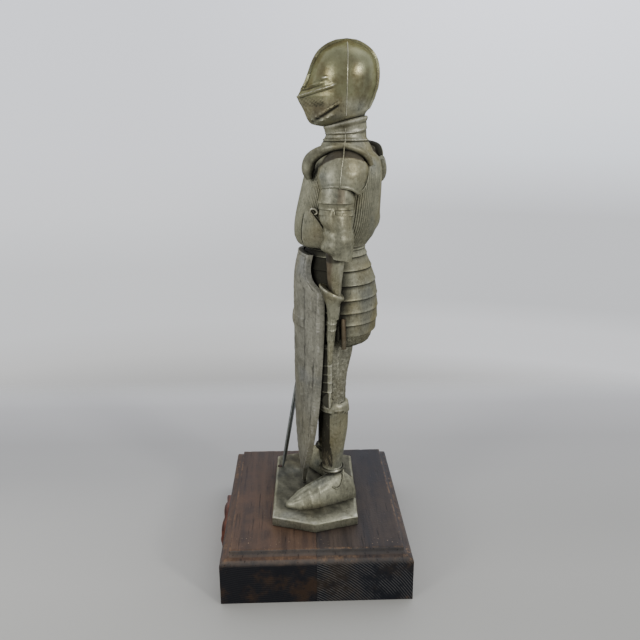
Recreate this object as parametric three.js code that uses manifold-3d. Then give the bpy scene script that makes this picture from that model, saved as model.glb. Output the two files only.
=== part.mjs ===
// A cast metal statuette of a knight in plate armour on a wooden base, with shield and sword.
// Millimetres, +Z up. The origin is the middle of the base's underside. The knight looks
// along -Y, and +X is on his left.

import * as THREE from 'three';
import { mergeVertices } from 'three/addons/utils/BufferGeometryUtils.js';
import Module from 'manifold-3d';

const wasm = await Module();
wasm.setup();

// Clearance between pieces that touch in the real statuette
const gap = 0.3;

// Wooden base
const baseWidth = 118.6;
const baseDepth = 100;
const baseSide = 22.6; // plain upright part of its sides
const noseRadius = 2.8; // quarter round above the side
const coveRise = 1.2;
const coveInset = 1.9;
const panelRise = 2;
const edgeWear = 0.5; // rounding of the lower and upper edges

// Foot plate, a long hexagon
const plateWidth = 82; // between its two end points
const plateFlat = 67; // length of its front and rear edges
const plateDepth = 46.6;
const plateThickness = 7.1;
const plateBevel = 0.9;

// Figure, from the foot plate's top to the helmet's crest
const figureHeight = 243.5;

// Shield
const shieldHeight = 139.2;
const shieldWidth = 45.4;
const shieldThickness = 2.2;
const shieldCurve = 26; // radius of its level sections
const shieldBow = 4.3; // how far its middle stands in front of its tip
const shieldLean = 2.8; // how far its top leans back
const scoopHeight = 19; // height of the hollowed corners
const scoopWidth = 7.4;
const rimWidth = 2.2;
const rimRise = 0.6;
const crossWidth = 5;
const crossRise = 0.5;
const crossHeight = 102; // of its arms above the tip
const bossRadius = 4.6;
const bossRise = 1.3;

// Sword
const bladeWidth = 4.4;
const bladeThickness = 1.9;
const bladePoint = 16; // length of the tapered point
const gripRadius = 1.7;
const guardWidth = 22;
const guardThickness = 2;
const guardTurn = 0.42; // its inner end forwards, clear of the shield
const pommelRadius = 3.1;
const pointInset = 4.8; // of its point from the foot plate's front edge
const pointAside = 18.6; // of its point from the middle

// Plaque
const plaqueWidth = 50;
const plaqueHeight = 17;
const plaqueThickness = 1.6;
const plaqueRelief = 1.3;

// Nails
const nailRadius = 1;
const nailLength = 18;
const nailInset = 2.8; // from the foot plate's long edges
const nailFrontX = -20;
const nailRearX = -5;

// Heights that follow
const baseHeight = baseSide + noseRadius + coveRise + panelRise;
const plateBottom = baseHeight + gap;
const plateTop = plateBottom + plateThickness;

// The figure's forms are written in its own measure, 243.5 to its height, above the plate.
const measure = figureHeight / 243.5;
const ofFigure = new THREE.Matrix4().makeTranslation(0, 0, plateTop)
  .scale(new THREE.Vector3(measure, measure, measure));
const inFigure = matrix => ofFigure.clone().multiply(matrix);

// Triangles across the end of a solid, as corners of its ring: a fan over a convex ring, or
// ears clipped from a level ring of any shape
const fan = ring => ring.slice(2).map((_, k) => [0, k + 1, k + 2]);
const ears = ring => THREE.ShapeUtils.triangulateShape(ring.map(p => new THREE.Vector2(p.x, p.y)), []);

// A closed solid over rings of points with equal counts. Each ring runs anticlockwise as
// seen from the rings after it.
function skin(rings, cap = fan) {
  const sides = rings[0].length;
  const points = rings.flat();
  const faces = [];
  for (let r = 0; r + 1 < rings.length; r += 1) {
    for (let k = 0; k < sides; k += 1) {
      const [a, b] = [r * sides + k, r * sides + ((k + 1) % sides)];
      faces.push(a, b, b + sides, a, b + sides, a + sides);
    }
  }
  const last = (rings.length - 1) * sides;
  cap(rings[0]).forEach(([a, b, c]) => faces.push(a, c, b));
  cap(rings.at(-1)).forEach(([a, b, c]) => faces.push(last + a, last + b, last + c));
  return manifoldOf(points.flatMap(p => p.toArray()), faces);
}

function manifoldOf(positions, faces) {
  const vertProperties = new Float32Array(positions);
  const triVerts = new Uint32Array(faces);
  return new wasm.Manifold(new wasm.Mesh({ numProp: 3, vertProperties, triVerts }));
}

// A closed three.js geometry as a solid. Triangles that shrink to a line are dropped.
function solidOf(geometry, matrix = new THREE.Matrix4()) {
  const bare = geometry.clone().applyMatrix4(matrix);
  bare.deleteAttribute('normal');
  bare.deleteAttribute('uv');
  const merged = mergeVertices(bare, 0.001);
  const faces = [];
  for (let i = 0; i < merged.index.count; i += 3) {
    const [a, b, c] = merged.index.array.slice(i, i + 3);
    if (a !== b && b !== c && c !== a) faces.push(a, b, c);
  }
  return manifoldOf(merged.attributes.position.array, faces);
}

const joined = solids => solids.reduce((whole, solid) => whole.add(solid));

function box(x0, x1, y0, y1, z0, z1, matrix = new THREE.Matrix4()) {
  const place = new THREE.Matrix4().makeTranslation((x0 + x1) / 2, (y0 + y1) / 2, (z0 + z1) / 2);
  return solidOf(new THREE.BoxGeometry(x1 - x0, y1 - y0, z1 - z0), matrix.clone().multiply(place));
}

// A turned solid about +Z. The profile is pairs of radius and height, upwards.
function turned(profile, sides, matrix = new THREE.Matrix4()) {
  const points = profile.map(([radius, z]) => new THREE.Vector2(radius, z));
  const upright = new THREE.Matrix4().makeRotationX(Math.PI / 2);
  return solidOf(new THREE.LatheGeometry(points, sides), matrix.clone().multiply(upright));
}

// One station of a form: its height, its front and back in Y, half its width, and how
// square its front half is: 2 is an ellipse, less is keeled.
const at = (z, front, back, half, square = 2, { x = 0, tilt = 0 } = {}) =>
  ({ z, front, back, half, square, x, tilt });

// The ring of one station. relief gives how far a point sinks in, from its angle round from
// the front and its station.
function ringOf(station, sides, relief, matrix) {
  const { z, front, back, half, square, x, tilt } = station;
  const middle = (front + back) / 2;
  return Array.from({ length: sides }, (_, k) => {
    const angle = (k / sides) * 2 * Math.PI;
    const [s, c] = [Math.sin(angle), -Math.cos(angle)];
    const power = 2 / (c < 0 ? square : 2);
    const sink = relief(angle, station);
    const px = x + half * Math.sign(s) * Math.abs(s) ** power - sink * s;
    const py = middle + ((back - front) / 2) * Math.sign(c) * Math.abs(c) ** power - sink * c;
    return new THREE.Vector3(px, py, z + tilt * (py - middle)).applyMatrix4(matrix);
  });
}

function form(stations, sides, { relief = () => 0, matrix = ofFigure } = {}) {
  return skin(stations.map(station => ringOf(station, sides, relief, matrix)));
}

const grown = (stations, by) =>
  stations.map(s => ({ ...s, front: s.front - by, back: s.back + by, half: s.half + by }));

// A round limb along a curve through points, with a radius for each point
function limb(points, radii, sides, steps, matrix = ofFigure) {
  const curve = new THREE.CatmullRomCurve3(points.map(p => new THREE.Vector3(...p)));
  const { normals, binormals } = curve.computeFrenetFrames(steps, false);
  const rings = normals.map((normal, i) => {
    const t = (i / steps) * (radii.length - 1);
    const k = Math.min(Math.floor(t), radii.length - 2);
    const radius = THREE.MathUtils.lerp(radii[k], radii[k + 1], t - k);
    return Array.from({ length: sides }, (_, j) => {
      const angle = (j / sides) * 2 * Math.PI;
      return curve.getPointAt(i / steps)
        .addScaledVector(normal, radius * Math.cos(angle))
        .addScaledVector(binormals[i], radius * Math.sin(angle))
        .applyMatrix4(matrix);
    });
  });
  return skin(rings);
}

// A frame at a, with +Z towards b and -Y kept as near to the front as it can be
function frameAlong(a, b) {
  const z = new THREE.Vector3().subVectors(b, a).normalize();
  const x = new THREE.Vector3(0, 1, 0).cross(z).normalize();
  const y = z.clone().cross(x);
  return new THREE.Matrix4().makeBasis(x, y, z).setPosition(a);
}

// Helmet: a close helmet with a pointed visor, sight slots, a low comb and lipped edges
// at the visor and the jaw
function helmet() {
  const comb = 0.7;
  const skull = [
    at(200.4, 7.2, 26.6, 10.4),
    at(203.6, 0.4, 26.6, 12.2, 1.8),
    at(209.6, -4, 28.3, 13.9, 1.6),
    at(215.4, -7, 31.2, 14.8, 1.45),
    at(221, -4, 33, 15.2, 1.7),
    at(227, -1.4, 33.5, 15.2, 1.9),
    at(232.5, 0.7, 32.8, 14),
    at(237.2, 3.6, 30.2, 11.6),
    at(240.6, 7.6, 26.4, 8),
    at(243.5, 14.4, 20.6, 2.4),
  ];
  const sides = 20;
  const relief = angle => (Math.abs(Math.sin(angle)) < 0.01 ? -comb : 0);
  const shell = form(skull, sides, { relief });
  const slope = (y, z, angle) => inFigure(new THREE.Matrix4().makeTranslation(0, y, z)
    .multiply(new THREE.Matrix4().makeRotationX(angle)));
  const edge = (y, z, angle, thickness, rise, reach) =>
    form(grown(skull, rise), sides, { relief })
      .intersect(box(-20, 20, -30, reach, 0, thickness, slope(y, z, angle)));
  const sight = (x0, x1) => box(x0, x1, -5, 9.6, 0, 1.1, slope(-3, 219, 0.24));
  const sights = sight(3, 20).add(sight(-20, -3)).subtract(form(grown(skull, -0.8), 12));
  return joined([shell, edge(-7.6, 216, 0.1, 0.9, 0.5, 16.4), edge(0.4, 203.4, 0.62, 1, 0.6, 13)]).subtract(sights);
}

// Gorget: the rolled collar and two neck lames that spread on to the shoulders
function gorget() {
  return form([
    at(186, 2.4, 33, 18),
    at(191.6, 4.2, 30.6, 13.6),
    at(195.2, 5.8, 28.8, 11.6),
    at(195.5, 6.7, 28.1, 10.8),
    at(198.6, 7.3, 27.8, 10.4),
    at(198.9, 6.7, 28.3, 11),
    at(201.6, 6.4, 28.4, 11.1),
    at(202.6, 5.6, 28.9, 11.8),
    at(204.2, 5.8, 28.8, 11.6),
    at(205, 7, 27.8, 10.6),
  ], 16);
}

// Cuirass: a globose breastplate and backplate, fluted in front and behind, with a plain
// raised panel on each side, a lip at the waist, and a strap below each arm
function cuirass() {
  const flutes = 14;
  const fluteDepth = 0.8;
  const [panelStart, panelEnd] = [0.6, 1.9]; // angles round from the front
  const relief = (angle, { z }) => {
    const turn = Math.min(angle, 2 * Math.PI - angle);
    if (z > 184 || z < 142) return 0;
    if (turn > panelStart && turn < panelEnd) return -0.4;
    return fluteDepth * (0.5 + 0.5 * Math.cos(flutes * angle));
  };
  const body = form([
    at(141, -2, 27, 16.4),
    at(142.2, -7.2, 28.9, 19.6, 2.1),
    at(144.8, -9.2, 31, 21.2, 2.2),
    at(149, -9.7, 33.6, 23.2, 2.2),
    at(155, -9.3, 35, 24.8, 2.3),
    at(162, -7.9, 35.4, 26, 2.3),
    at(171, -5.6, 36, 27, 2.3),
    at(180, -3.4, 36, 27.2, 2.3),
    at(187, 0, 34.4, 24.4),
    at(191.8, 6.4, 28.6, 11.6),
  ], 3 * flutes, { relief });
  const straps = [1, -1].map(side => limb(
    [[side * 24.4, -0.4, 163], [side * 25.2, 2.6, 156], [side * 23, 6, 149]],
    [1.5, 1.1, 1.1],
    5,
    3,
  ));
  return joined([body, ...straps]);
}

// Skirt: lames that widen from the waist over the hips, each lapping the one below, over
// a short fringe of mail, with a strap down each hip
function skirt() {
  const lip = 0.9;
  const edges = [143, 139.4, 135, 130, 122.4, 115, 108.4, 101.4, 93.8];
  const shape = [
    at(93, -2.4, 33, 23.4),
    at(97, -3.6, 34.3, 24.4),
    at(102, -4.2, 35, 24.8),
    at(108, -4.6, 35.3, 24.8),
    at(115, -4.8, 35, 24.4),
    at(123, -4.8, 34, 23.4),
    at(130, -4.6, 32, 21.6),
    at(135, -4.2, 30, 19.8),
    at(140, -4, 28.4, 18.4),
    at(144, -3.4, 27.6, 17.6),
  ];
  const girth = z => {
    const k = shape.findIndex(s => s.z > z);
    const [a, b] = [shape[k - 1], shape[k]];
    const t = (z - a.z) / (b.z - a.z);
    return at(z, ...['front', 'back', 'half'].map(key => THREE.MathUtils.lerp(a[key], b[key], t)));
  };
  const lames = edges.slice(1).flatMap((low, i) => [...grown([girth(edges[i] - 0.02)], -lip), girth(low)]);
  const mail = [at(85, 1.6, 27.6, 20.4), at(90, -0.6, 31, 22.2), at(93.7, -1.4, 32, 22.6)];
  const hipStrap = (x0, x1) => box(x0, x1, 13.6, 16.3, 90.2, 104.4, ofFigure);
  return joined([form([...mail, ...lames.toReversed()], 22), hipStrap(19, 25.6), hipStrap(-25.6, -19)]);
}

// Pauldrons: a domed shoulder plate under a thick raised flange. turn and shift carry one
// back with its arm.
function pauldron(side, turn, shift) {
  const matrix = inFigure(new THREE.Matrix4().makeTranslation(0, 17 + shift, 179))
    .multiply(new THREE.Matrix4().makeRotationX(turn))
    .multiply(new THREE.Matrix4().makeTranslation(0, -17, -179));
  const dome = form([
    at(170.6, 4, 24.4, 8.6, 2, { x: side * 30, tilt: -0.1 }),
    at(173, 2.6, 25.6, 9.4, 2.2, { x: side * 29.6, tilt: -0.1 }),
    at(181, 2.2, 26.2, 9.8, 2.2, { x: side * 28.6 }),
    at(187, 4.2, 24.4, 8.8, 2, { x: side * 27.6 }),
    at(191.4, 8, 20.6, 6, 2, { x: side * 26.6 }),
    at(193.6, 12, 16.8, 2, 2, { x: side * 26 }),
  ], 16, { matrix });
  const flange = limb([
    [side * 20, -1.6, 177.2], [side * 20.2, -2.4, 182], [side * 21.4, -0.6, 187.4],
    [side * 25, 5.4, 191.4], [side * 28.6, 13, 193], [side * 28, 20.4, 191.6],
    [side * 25.6, 25.4, 188.4], [side * 24.6, 27.6, 184],
  ], [1.6, 3.1, 3.2, 2.7, 2.1, 2.1, 2.2, 1.6], 6, 10, matrix);
  return dome.add(flange);
}

// Arms: lames over the upper arm, a shaped elbow piece, the forearm, and the flared cuff
// of the gauntlet. Heights run down each limb from its own joint. A bent elbow has a
// rounded cup.
function arm(shoulder, elbow, wrist, bent) {
  const upper = inFigure(frameAlong(shoulder, elbow));
  const lower = inFigure(frameAlong(elbow, wrist));
  const bend = inFigure(frameAlong(shoulder, wrist).setPosition(elbow));
  const short = shoulder.distanceTo(elbow);
  const long = elbow.distanceTo(wrist);
  const upperArm = form([
    at(0, -7, 7, 6.4),
    at(short - 15.6, -9.6, 8.8, 7.9),
    at(short - 15.5, -8.7, 8.2, 7.3),
    at(short - 11, -8.9, 8.8, 7.6),
    at(short - 10.9, -7.4, 7.6, 6.8),
    at(short, -6.6, 6.6, 6),
  ], 12, { matrix: upper });
  const cupped = s => {
    const share = bent ? Math.sqrt(1 - (s.z / 13.6) ** 2) : 1;
    return { ...s, front: s.front * share, back: s.back * share, half: s.half * share };
  };
  const couter = form([
    at(-11.4, -7.4, 7.6, 7.6),
    at(-7, -8, 8.3, 8.3),
    at(-3, -5.4, 8, 8.3),
    at(0.6, -6.9, 8.2, 8.9),
    at(5.6, -8.2, 7.7, 8.2),
    at(11, -3.4, 7.2, 7.2, 2, { tilt: 0.2 }),
  ].map(cupped), 12, { matrix: bend });
  const forearm = form([
    at(3, -5.6, 4.6, 5.6),
    at(long * 0.33, -5, 3.4, 5.2),
    at(long * 0.6, -4.2, 2.2, 4.6),
    at(long, -3.2, 1.4, 3.4),
  ], 8, { matrix: lower });
  const cuff = form([
    at(long * 0.64, -8.2, 3.4, 6.3, 2, { tilt: 0.55 }),
    at(long * 0.67, -9, 3.8, 6.8, 2, { tilt: 0.55 }),
    at(long * 0.74, -7, 2.5, 5.6, 2, { tilt: 0.4 }),
    at(long * 0.87, -4.9, 0.9, 4.2, 2, { tilt: 0.12 }),
    at(long, -4.4, 0.5, 3.9),
  ], 12, { matrix: lower });
  return joined([upperArm, couter, forearm, cuff]);
}

// Left hand: open, its four fingers together and straight down, its thumb against the
// back of the shield
const thumbRadius = 1.6;
const thumbPad = new THREE.Vector3(21.6, 7.7, 98);

function openHand(wrist) {
  const fingers = 4;
  const relief = (angle, { half, z }) => {
    const across = (Math.sin(angle) * fingers) / 2;
    return z < -9 ? 0.5 * Math.cos(across * 2 * Math.PI) + 0.1 * (half - 4.6) : 0;
  };
  const palm = form([
    at(-24.4, -4, -2.6, 2.4),
    at(-22.4, -4.5, -2, 3.9),
    at(-17, -4.6, -1.4, 4.6),
    at(-11, -4.7, -0.9, 5.2),
    at(-4, -4.5, 0, 4.8),
    at(1.5, -4.2, 0.4, 3.8),
  ], 16, { relief, matrix: inFigure(new THREE.Matrix4().makeTranslation(wrist)) });
  const knuckle = [wrist.x - 3, wrist.y - 2.6, wrist.z - 2];
  const tip = [thumbPad.x + 0.6, thumbPad.y, thumbPad.z - 3.6];
  const thumb = limb([knuckle, thumbPad.toArray(), tip], [thumbRadius, thumbRadius, 1.1], 6, 2);
  return palm.add(thumb);
}

// Legs: the thigh in mail with lames over its front, the knee with its wing, the greave
// and the ankle band. stride moves the foot forwards.
function leg(side, stride) {
  const lean = z => stride * Math.max(0, 1 - z / 60);
  const middle = z => side * (13.2 - 0.035 * Math.max(0, z - 50));
  const station = (z, front, back, half) => at(z, front + lean(z), back + lean(z), half, 2, { x: middle(z) });
  const whole = form([
    station(5, 6, 15.4, 5),
    station(14, 4.6, 15.8, 5.6),
    station(16, 3.5, 16.5, 6.5),
    station(17.8, 3.5, 16.5, 6.5),
    station(18, 4.3, 16, 5.9),
    station(28, 3.8, 16.9, 6.8),
    station(42, 3.6, 18.9, 8.1),
    station(48, 3.5, 19.3, 8.3),
    station(48.8, 2.8, 20, 8.9),
    station(50.6, 2.8, 19.9, 8.9),
    station(51, 3, 18.8, 8.1),
    station(56, 0.9, 18.4, 8.5),
    station(60.4, 1.6, 17.6, 8.2),
    station(72, 0.8, 18, 8.7),
    station(85, 0.2, 20.7, 9.6),
    station(92, 0.4, 22, 9.8),
  ], 12);
  const edges = [60.4, 65, 71, 90];
  const plates = edges.slice(1).flatMap((top, i) => {
    const swell = 0.03 * (edges[i] - 60);
    return [
      station(edges[i], 0.2 - swell, 17 + swell, 9.2 + swell),
      station(top - 0.1, 0.8 - swell, 17 + swell, 8.6 + swell),
    ];
  });
  const cuisse = form(plates, 10).intersect(box(-15 + middle(75), 15 + middle(75), -10, 9 + lean(60), 60, 90, ofFigure));
  const knee = 57;
  const wing = limb([6.5, 9.6].map(out => [middle(knee) + side * out, 9.4 + lean(knee), knee]), [4.8, 3.4], 7, 1);
  return joined([whole, cuisse, wing]);
}

// Feet: pointed shoes of plate with a ridge, turned outwards. Each section is its distance
// from the heel, half its width and its height.
function foot(side, heel, turn) {
  const sections = [
    [0, 3, 6],
    [2, 4.4, 11],
    [8, 5.6, 16],
    [17, 6.7, 13.4],
    [23, 7.5, 10],
    [23.2, 7.1, 9.3],
    [28, 7.5, 7.3],
    [28.2, 7.1, 6.7],
    [33, 6.3, 5.3],
    [33.4, 6.3, 6],
    [35.4, 5, 4.4],
    [40.8, 1.2, 1.6],
  ];
  const along = new THREE.Vector3(Math.sin(turn) * side, -Math.cos(turn), 0);
  const across = new THREE.Vector3(0, 0, 1).cross(along);
  const sides = 10;
  const sunk = 0.6; // sole below the plate's top
  return skin(sections.map(([t, half, height]) => Array.from({ length: sides }, (_, k) => {
    const angle = (k / sides) * 2 * Math.PI;
    const lift = Math.sin(angle) > 0.01 ? height * Math.sin(angle) ** 1.15 : -sunk;
    return heel.clone().addScaledVector(along, t).addScaledVector(across, half * Math.cos(angle))
      .add(new THREE.Vector3(0, 0, lift)).applyMatrix4(ofFigure);
  })));
}

// Foot plate, cast with the figure
function footPlate() {
  const corners = [
    [plateWidth / 2, 0],
    [plateFlat / 2, plateDepth / 2],
    [-plateFlat / 2, plateDepth / 2],
    [-plateWidth / 2, 0],
    [-plateFlat / 2, -plateDepth / 2],
    [plateFlat / 2, -plateDepth / 2],
  ];
  const geometry = new THREE.ExtrudeGeometry(new THREE.Shape(corners.map(([x, y]) => new THREE.Vector2(x, y))), {
    depth: plateThickness - 2 * plateBevel,
    bevelSize: plateBevel,
    bevelOffset: -plateBevel,
    bevelThickness: plateBevel,
    bevelSegments: 2,
  });
  return solidOf(geometry, new THREE.Matrix4().makeTranslation(0, 0, plateBottom + plateBevel));
}

// Joints of the arms in the figure's measure, and the middle of the right fist
const joint = (x, y, z) => new THREE.Vector3(x, y, z);
const left = { shoulder: joint(31, 12, 181), elbow: joint(31, 11.4, 150), wrist: joint(28.8, 11.2, 109) };
const right = { shoulder: joint(-31, 19, 180), elbow: joint(-38, 32.4, 151), wrist: joint(-33, 9.4, 122.4) };
const fist = joint(-30, -1, 119);
const fistHalf = 5.2;

// The sword's frame: its origin is in the fist, and +Z runs up from the point
const swordPoint = joint(-pointAside, pointInset - plateDepth / 2, plateTop + gap);
const grasp = fist.clone().applyMatrix4(ofFigure);
const swordFrame = frameAlong(swordPoint, grasp).setPosition(grasp)
  .multiply(new THREE.Matrix4().makeRotationZ(-guardTurn));
const fistHeight = fistHalf * measure;

// Right fist: closed round the grip, with four knuckled fingers
function closedFist(wrist) {
  const fingers = 4;
  const step = (2 * fistHeight) / fingers;
  const knuckles = Array.from({ length: fingers }, (_, k) => {
    const low = k * step - fistHeight;
    return [at(low + 0.08 * step, -4.4, 5, 4.2), at(low + 0.5 * step, -5.5, 5.6, 4.9, 2.4)];
  });
  const palm = form([...knuckles.flat(), at(fistHeight, -4, 4.8, 3.8)], 10, { matrix: swordFrame });
  const over = (x, y, z) => [fist.x + x, fist.y + y, fist.z + z];
  const thumb = limb([over(1, 4.4, 4), over(4.6, 0, 3.6), over(2.6, -4.4, 2.4)], [1.9, 1.7, 1.2], 5, 3);
  const heel = limb([wrist.toArray(), over(-2.2, 4.6, 0.6), over(-1, 1, -0.8)], [3.9, 4, 3.4], 7, 2);
  return joined([palm, thumb, heel]);
}

// Nails and the holes they stand in
const nails = [['nail_front', nailFrontX, -1], ['nail_rear', nailRearX, 1]].map(([name, x, side]) => ({
  name,
  place: new THREE.Matrix4().makeTranslation(x, side * (plateDepth / 2 - nailInset), plateTop),
}));

function nailPin(place) {
  const shoulder = nailRadius * 1.5;
  const profile = [[0, -nailLength], [nailRadius, shoulder - nailLength], [nailRadius, -gap], [0, -gap]];
  return turned(profile, 8, place);
}

function nailHole(place) {
  const radius = nailRadius + gap;
  return turned([[0, -nailLength - gap], [radius, -nailLength - gap], [radius, 1], [0, 1]], 8, place);
}

// The knight, cast in one with the foot plate
function knight() {
  const splay = 0.31;
  const [leftHeel, rightHeel] = [joint(13.6, 22.6, 0), joint(-13.6, 19.8, 0)];
  const body = joined([
    footPlate(),
    leg(1, 0),
    leg(-1, -2.6),
    foot(1, leftHeel, splay),
    foot(-1, rightHeel, splay),
    skirt(),
    cuirass(),
    gorget(),
    helmet(),
    pauldron(1, 0, 0),
    pauldron(-1, -0.42, 3),
    arm(left.shoulder, left.elbow, left.wrist, false),
    openHand(left.wrist),
    arm(right.shoulder, right.elbow, right.wrist, true),
    closedFist(right.wrist),
  ]);
  const grip = gripRadius + gap;
  const room = 2 * fistHeight;
  const holes = [
    turned([[0, -room], [grip, -room], [grip, room], [0, room]], 8, swordFrame),
    ...nails.map(nail => nailHole(nail.place)),
  ];
  return holes.reduce((whole, hole) => whole.subtract(hole), body);
}

// Sword: a straight blade of diamond section, a bar guard, a round grip and a pommel
function sword() {
  const reach = swordPoint.distanceTo(grasp);
  const guardTop = -fistHeight - gap;
  const gripTop = fistHeight + gap;
  const diamond = (z, width, thickness) => [[0, -thickness], [width, 0], [0, thickness], [-width, 0]]
    .map(([x, y]) => new THREE.Vector3(x / 2, y / 2, z).applyMatrix4(swordFrame));
  const blade = skin([
    diamond(-reach, 0.5, 0.5),
    diamond(bladePoint - reach, bladeWidth * 0.8, bladeThickness * 0.85),
    diamond(guardTop - guardThickness / 2, bladeWidth, bladeThickness),
  ]);
  const arm = guardWidth / 2;
  const height = guardTop - guardThickness / 2;
  const guard = limb(
    [[-arm, 0, height - 1], [-arm * 0.5, 0, height], [0, 0, height], [arm * 0.5, 0, height], [arm, 0, height - 1]],
    [0.62, 0.42, 0.5, 0.42, 0.62].map(share => share * guardThickness),
    6,
    4,
    swordFrame,
  );
  const grip = turned([[0, height], [gripRadius, height], [gripRadius, gripTop + 1], [0, gripTop + 1]], 8, swordFrame);
  const bands = 5;
  const arc = Array.from({ length: bands + 1 }, (_, i) => {
    const turn = (i / bands) * Math.PI;
    return [i % bands === 0 ? 0 : pommelRadius * Math.sin(turn), gripTop + pommelRadius * (1 - Math.cos(turn))];
  });
  return joined([blade, guard, grip, turned(arc, 8, swordFrame)]);
}

// Shield: a long convex shield with hollowed upper corners, a raised rim, a plain cross
// and a low boss. It stands on its tip and leans on the left thumb.
function shield() {
  const half = shieldWidth / 2;
  const curve = x => shieldCurve - Math.sqrt(shieldCurve ** 2 - x ** 2);
  const pad = thumbPad.clone().applyMatrix4(ofFigure);
  const free = shieldCurve - thumbRadius * measure - gap;
  const front = pad.y + Math.sqrt(free ** 2 - pad.x ** 2) - shieldCurve - shieldThickness;
  const widthAt = z => {
    const scoop = (z - shieldHeight + scoopHeight) / scoopHeight;
    if (scoop > 0) return half - scoopWidth * Math.sin(Math.min(1, 1.3 * scoop) * Math.PI / 2);
    return half * Math.min(1, z / (0.62 * shieldHeight)) ** 0.5 * (1 - 0.06 * (1 - z / shieldHeight));
  };
  const bowAt = z => {
    const t = z / shieldHeight;
    return shieldBow * Math.max(0, 1 - t / 0.37) ** 2 + shieldLean * Math.max(0, (t - 0.85) / 0.15) ** 2;
  };
  const step = 0.4;
  const arms = [crossHeight - crossWidth / 2, crossHeight + crossWidth / 2];
  const rows = [
    0.2, 4, 11, 21, 36, 56, 80, arms[0] - step, arms[0], arms[1], arms[1] + step, shieldHeight - scoopHeight,
    124, 128.5, shieldHeight - rimWidth - step, shieldHeight - rimWidth, shieldHeight,
  ];
  const ring = z => {
    const width = widthAt(z);
    const rim = Math.min(rimWidth, width * 0.4);
    const inner = width - rim;
    const pale = Math.min(crossWidth / 2, inner * 0.4);
    const field = inner - Math.min(step, inner * 0.1);
    const across = [pale, pale + Math.min(step, pale * 0.2), field, inner, width];
    const level = x => {
      if (x >= inner - 0.001 || z >= shieldHeight - rimWidth - 0.001) return rimRise;
      const onArm = z >= arms[0] && z <= arms[1];
      return x <= pale + 0.001 || onArm ? crossRise : 0;
    };
    const point = (x, y) => {
      const crown = z > 125 ? 1.7 * (x / half) ** 2 : 0;
      return new THREE.Vector3(x, front + bowAt(z) + curve(x) + y, plateTop + gap + z - crown);
    };
    const face = [...across.toReversed().map(x => -x), 0, ...across];
    const rear = [1, 0.55, 0, -0.55, -1].map(share => share * (width - 0.1));
    return [...face.map(x => point(x, -level(Math.abs(x)))), ...rear.map(x => point(x, shieldThickness))];
  };
  const boss = turned([[0, -bossRise], [bossRadius * 0.6, -bossRise * 0.8], [bossRadius, 0], [bossRadius, 1], [0, 1]]
    .toReversed().map(([radius, y]) => [radius, -y]), 10, new THREE.Matrix4()
    .makeTranslation(0, front - crossRise, plateTop + gap + crossHeight)
    .multiply(new THREE.Matrix4().makeRotationX(Math.PI / 2)));
  return skin(rows.map(ring), ears).add(boss);
}

// One board of the base. side is -1 for the front board and 1 for the rear one.
function board(side) {
  const nose = Array.from({ length: 4 }, (_, i) => {
    const turn = (i / 3) * Math.PI / 2;
    return [baseSide + noseRadius * Math.sin(turn), noseRadius * (1 - Math.cos(turn))];
  });
  const panelBottom = baseSide + noseRadius + coveRise;
  const panelInset = noseRadius + coveInset;
  const profile = [
    [0, edgeWear],
    [edgeWear, 0],
    ...nose,
    [panelBottom, panelInset],
    [baseHeight - edgeWear, panelInset],
    [baseHeight, panelInset + edgeWear],
  ];
  const rings = profile.map(([z, inset]) => {
    const [x, y] = [baseWidth / 2 - inset, side * (baseDepth / 2 - inset)];
    const [near, far] = [side * gap / 2, y].toSorted((a, b) => a - b);
    return [[-x, near], [x, near], [x, far], [-x, far]].map(([px, py]) => new THREE.Vector3(px, py, z));
  });
  return nails.reduce((whole, nail) => whole.subtract(nailHole(nail.place)), skin(rings));
}

// Plaque: a bare scrolled tablet with a raised border and a boss at each end
function plaque() {
  const [w, h] = [plaqueWidth / 2, plaqueHeight / 2];
  const outline = grow => {
    const shape = new THREE.Shape();
    shape.moveTo(-w * 0.78 - grow, -h * 0.7 - grow);
    shape.quadraticCurveTo(0, -h * 1.3 - grow, w * 0.78 + grow, -h * 0.7 - grow);
    shape.quadraticCurveTo(w * 1.22 + grow, 0, w * 0.78 + grow, h * 0.7 + grow);
    shape.quadraticCurveTo(0, h * 1.3 + grow, -w * 0.78 - grow, h * 0.7 + grow);
    shape.quadraticCurveTo(-w * 1.22 - grow, 0, -w * 0.78 - grow, -h * 0.7 - grow);
    return shape;
  };
  const face = new THREE.Matrix4().makeTranslation(0, -baseDepth / 2 - gap, baseSide / 2 + 0.6)
    .multiply(new THREE.Matrix4().makeRotationX(Math.PI / 2));
  const slab = (shape, depth) => solidOf(new THREE.ExtrudeGeometry(shape, { depth, bevelEnabled: false, curveSegments: 3 }), face);
  const field = slab(outline(-2), plaqueThickness + plaqueRelief)
    .subtract(slab(outline(-2), plaqueThickness));
  const bosses = [1, -1].map(side => turned(
    [[0, 0], [3, 0], [2.6, plaqueThickness + plaqueRelief], [0, plaqueThickness + plaqueRelief + 0.5]],
    8,
    face.clone().multiply(new THREE.Matrix4().makeTranslation(side * w * 0.8, 0, 0)),
  ));
  return joined([slab(outline(0), plaqueThickness + plaqueRelief).subtract(field), ...bosses]);
}

// The statuette
const metal = (color, roughness) => new THREE.MeshStandardMaterial({ color, roughness, metalness: 0.9 });
const pewter = metal('#7d786a', 0.45);
const greyMetal = metal('#85837c', 0.5);
const steel = metal('#4a5055', 0.4);
const rust = metal('#5a3a28', 0.8);
const wood = new THREE.MeshStandardMaterial({ color: '#3d2a20', roughness: 0.6, metalness: 0 });
const redBrown = new THREE.MeshStandardMaterial({ color: '#5c2a20', roughness: 0.6, metalness: 0.3 });

const statuette = new THREE.Group();

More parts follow.
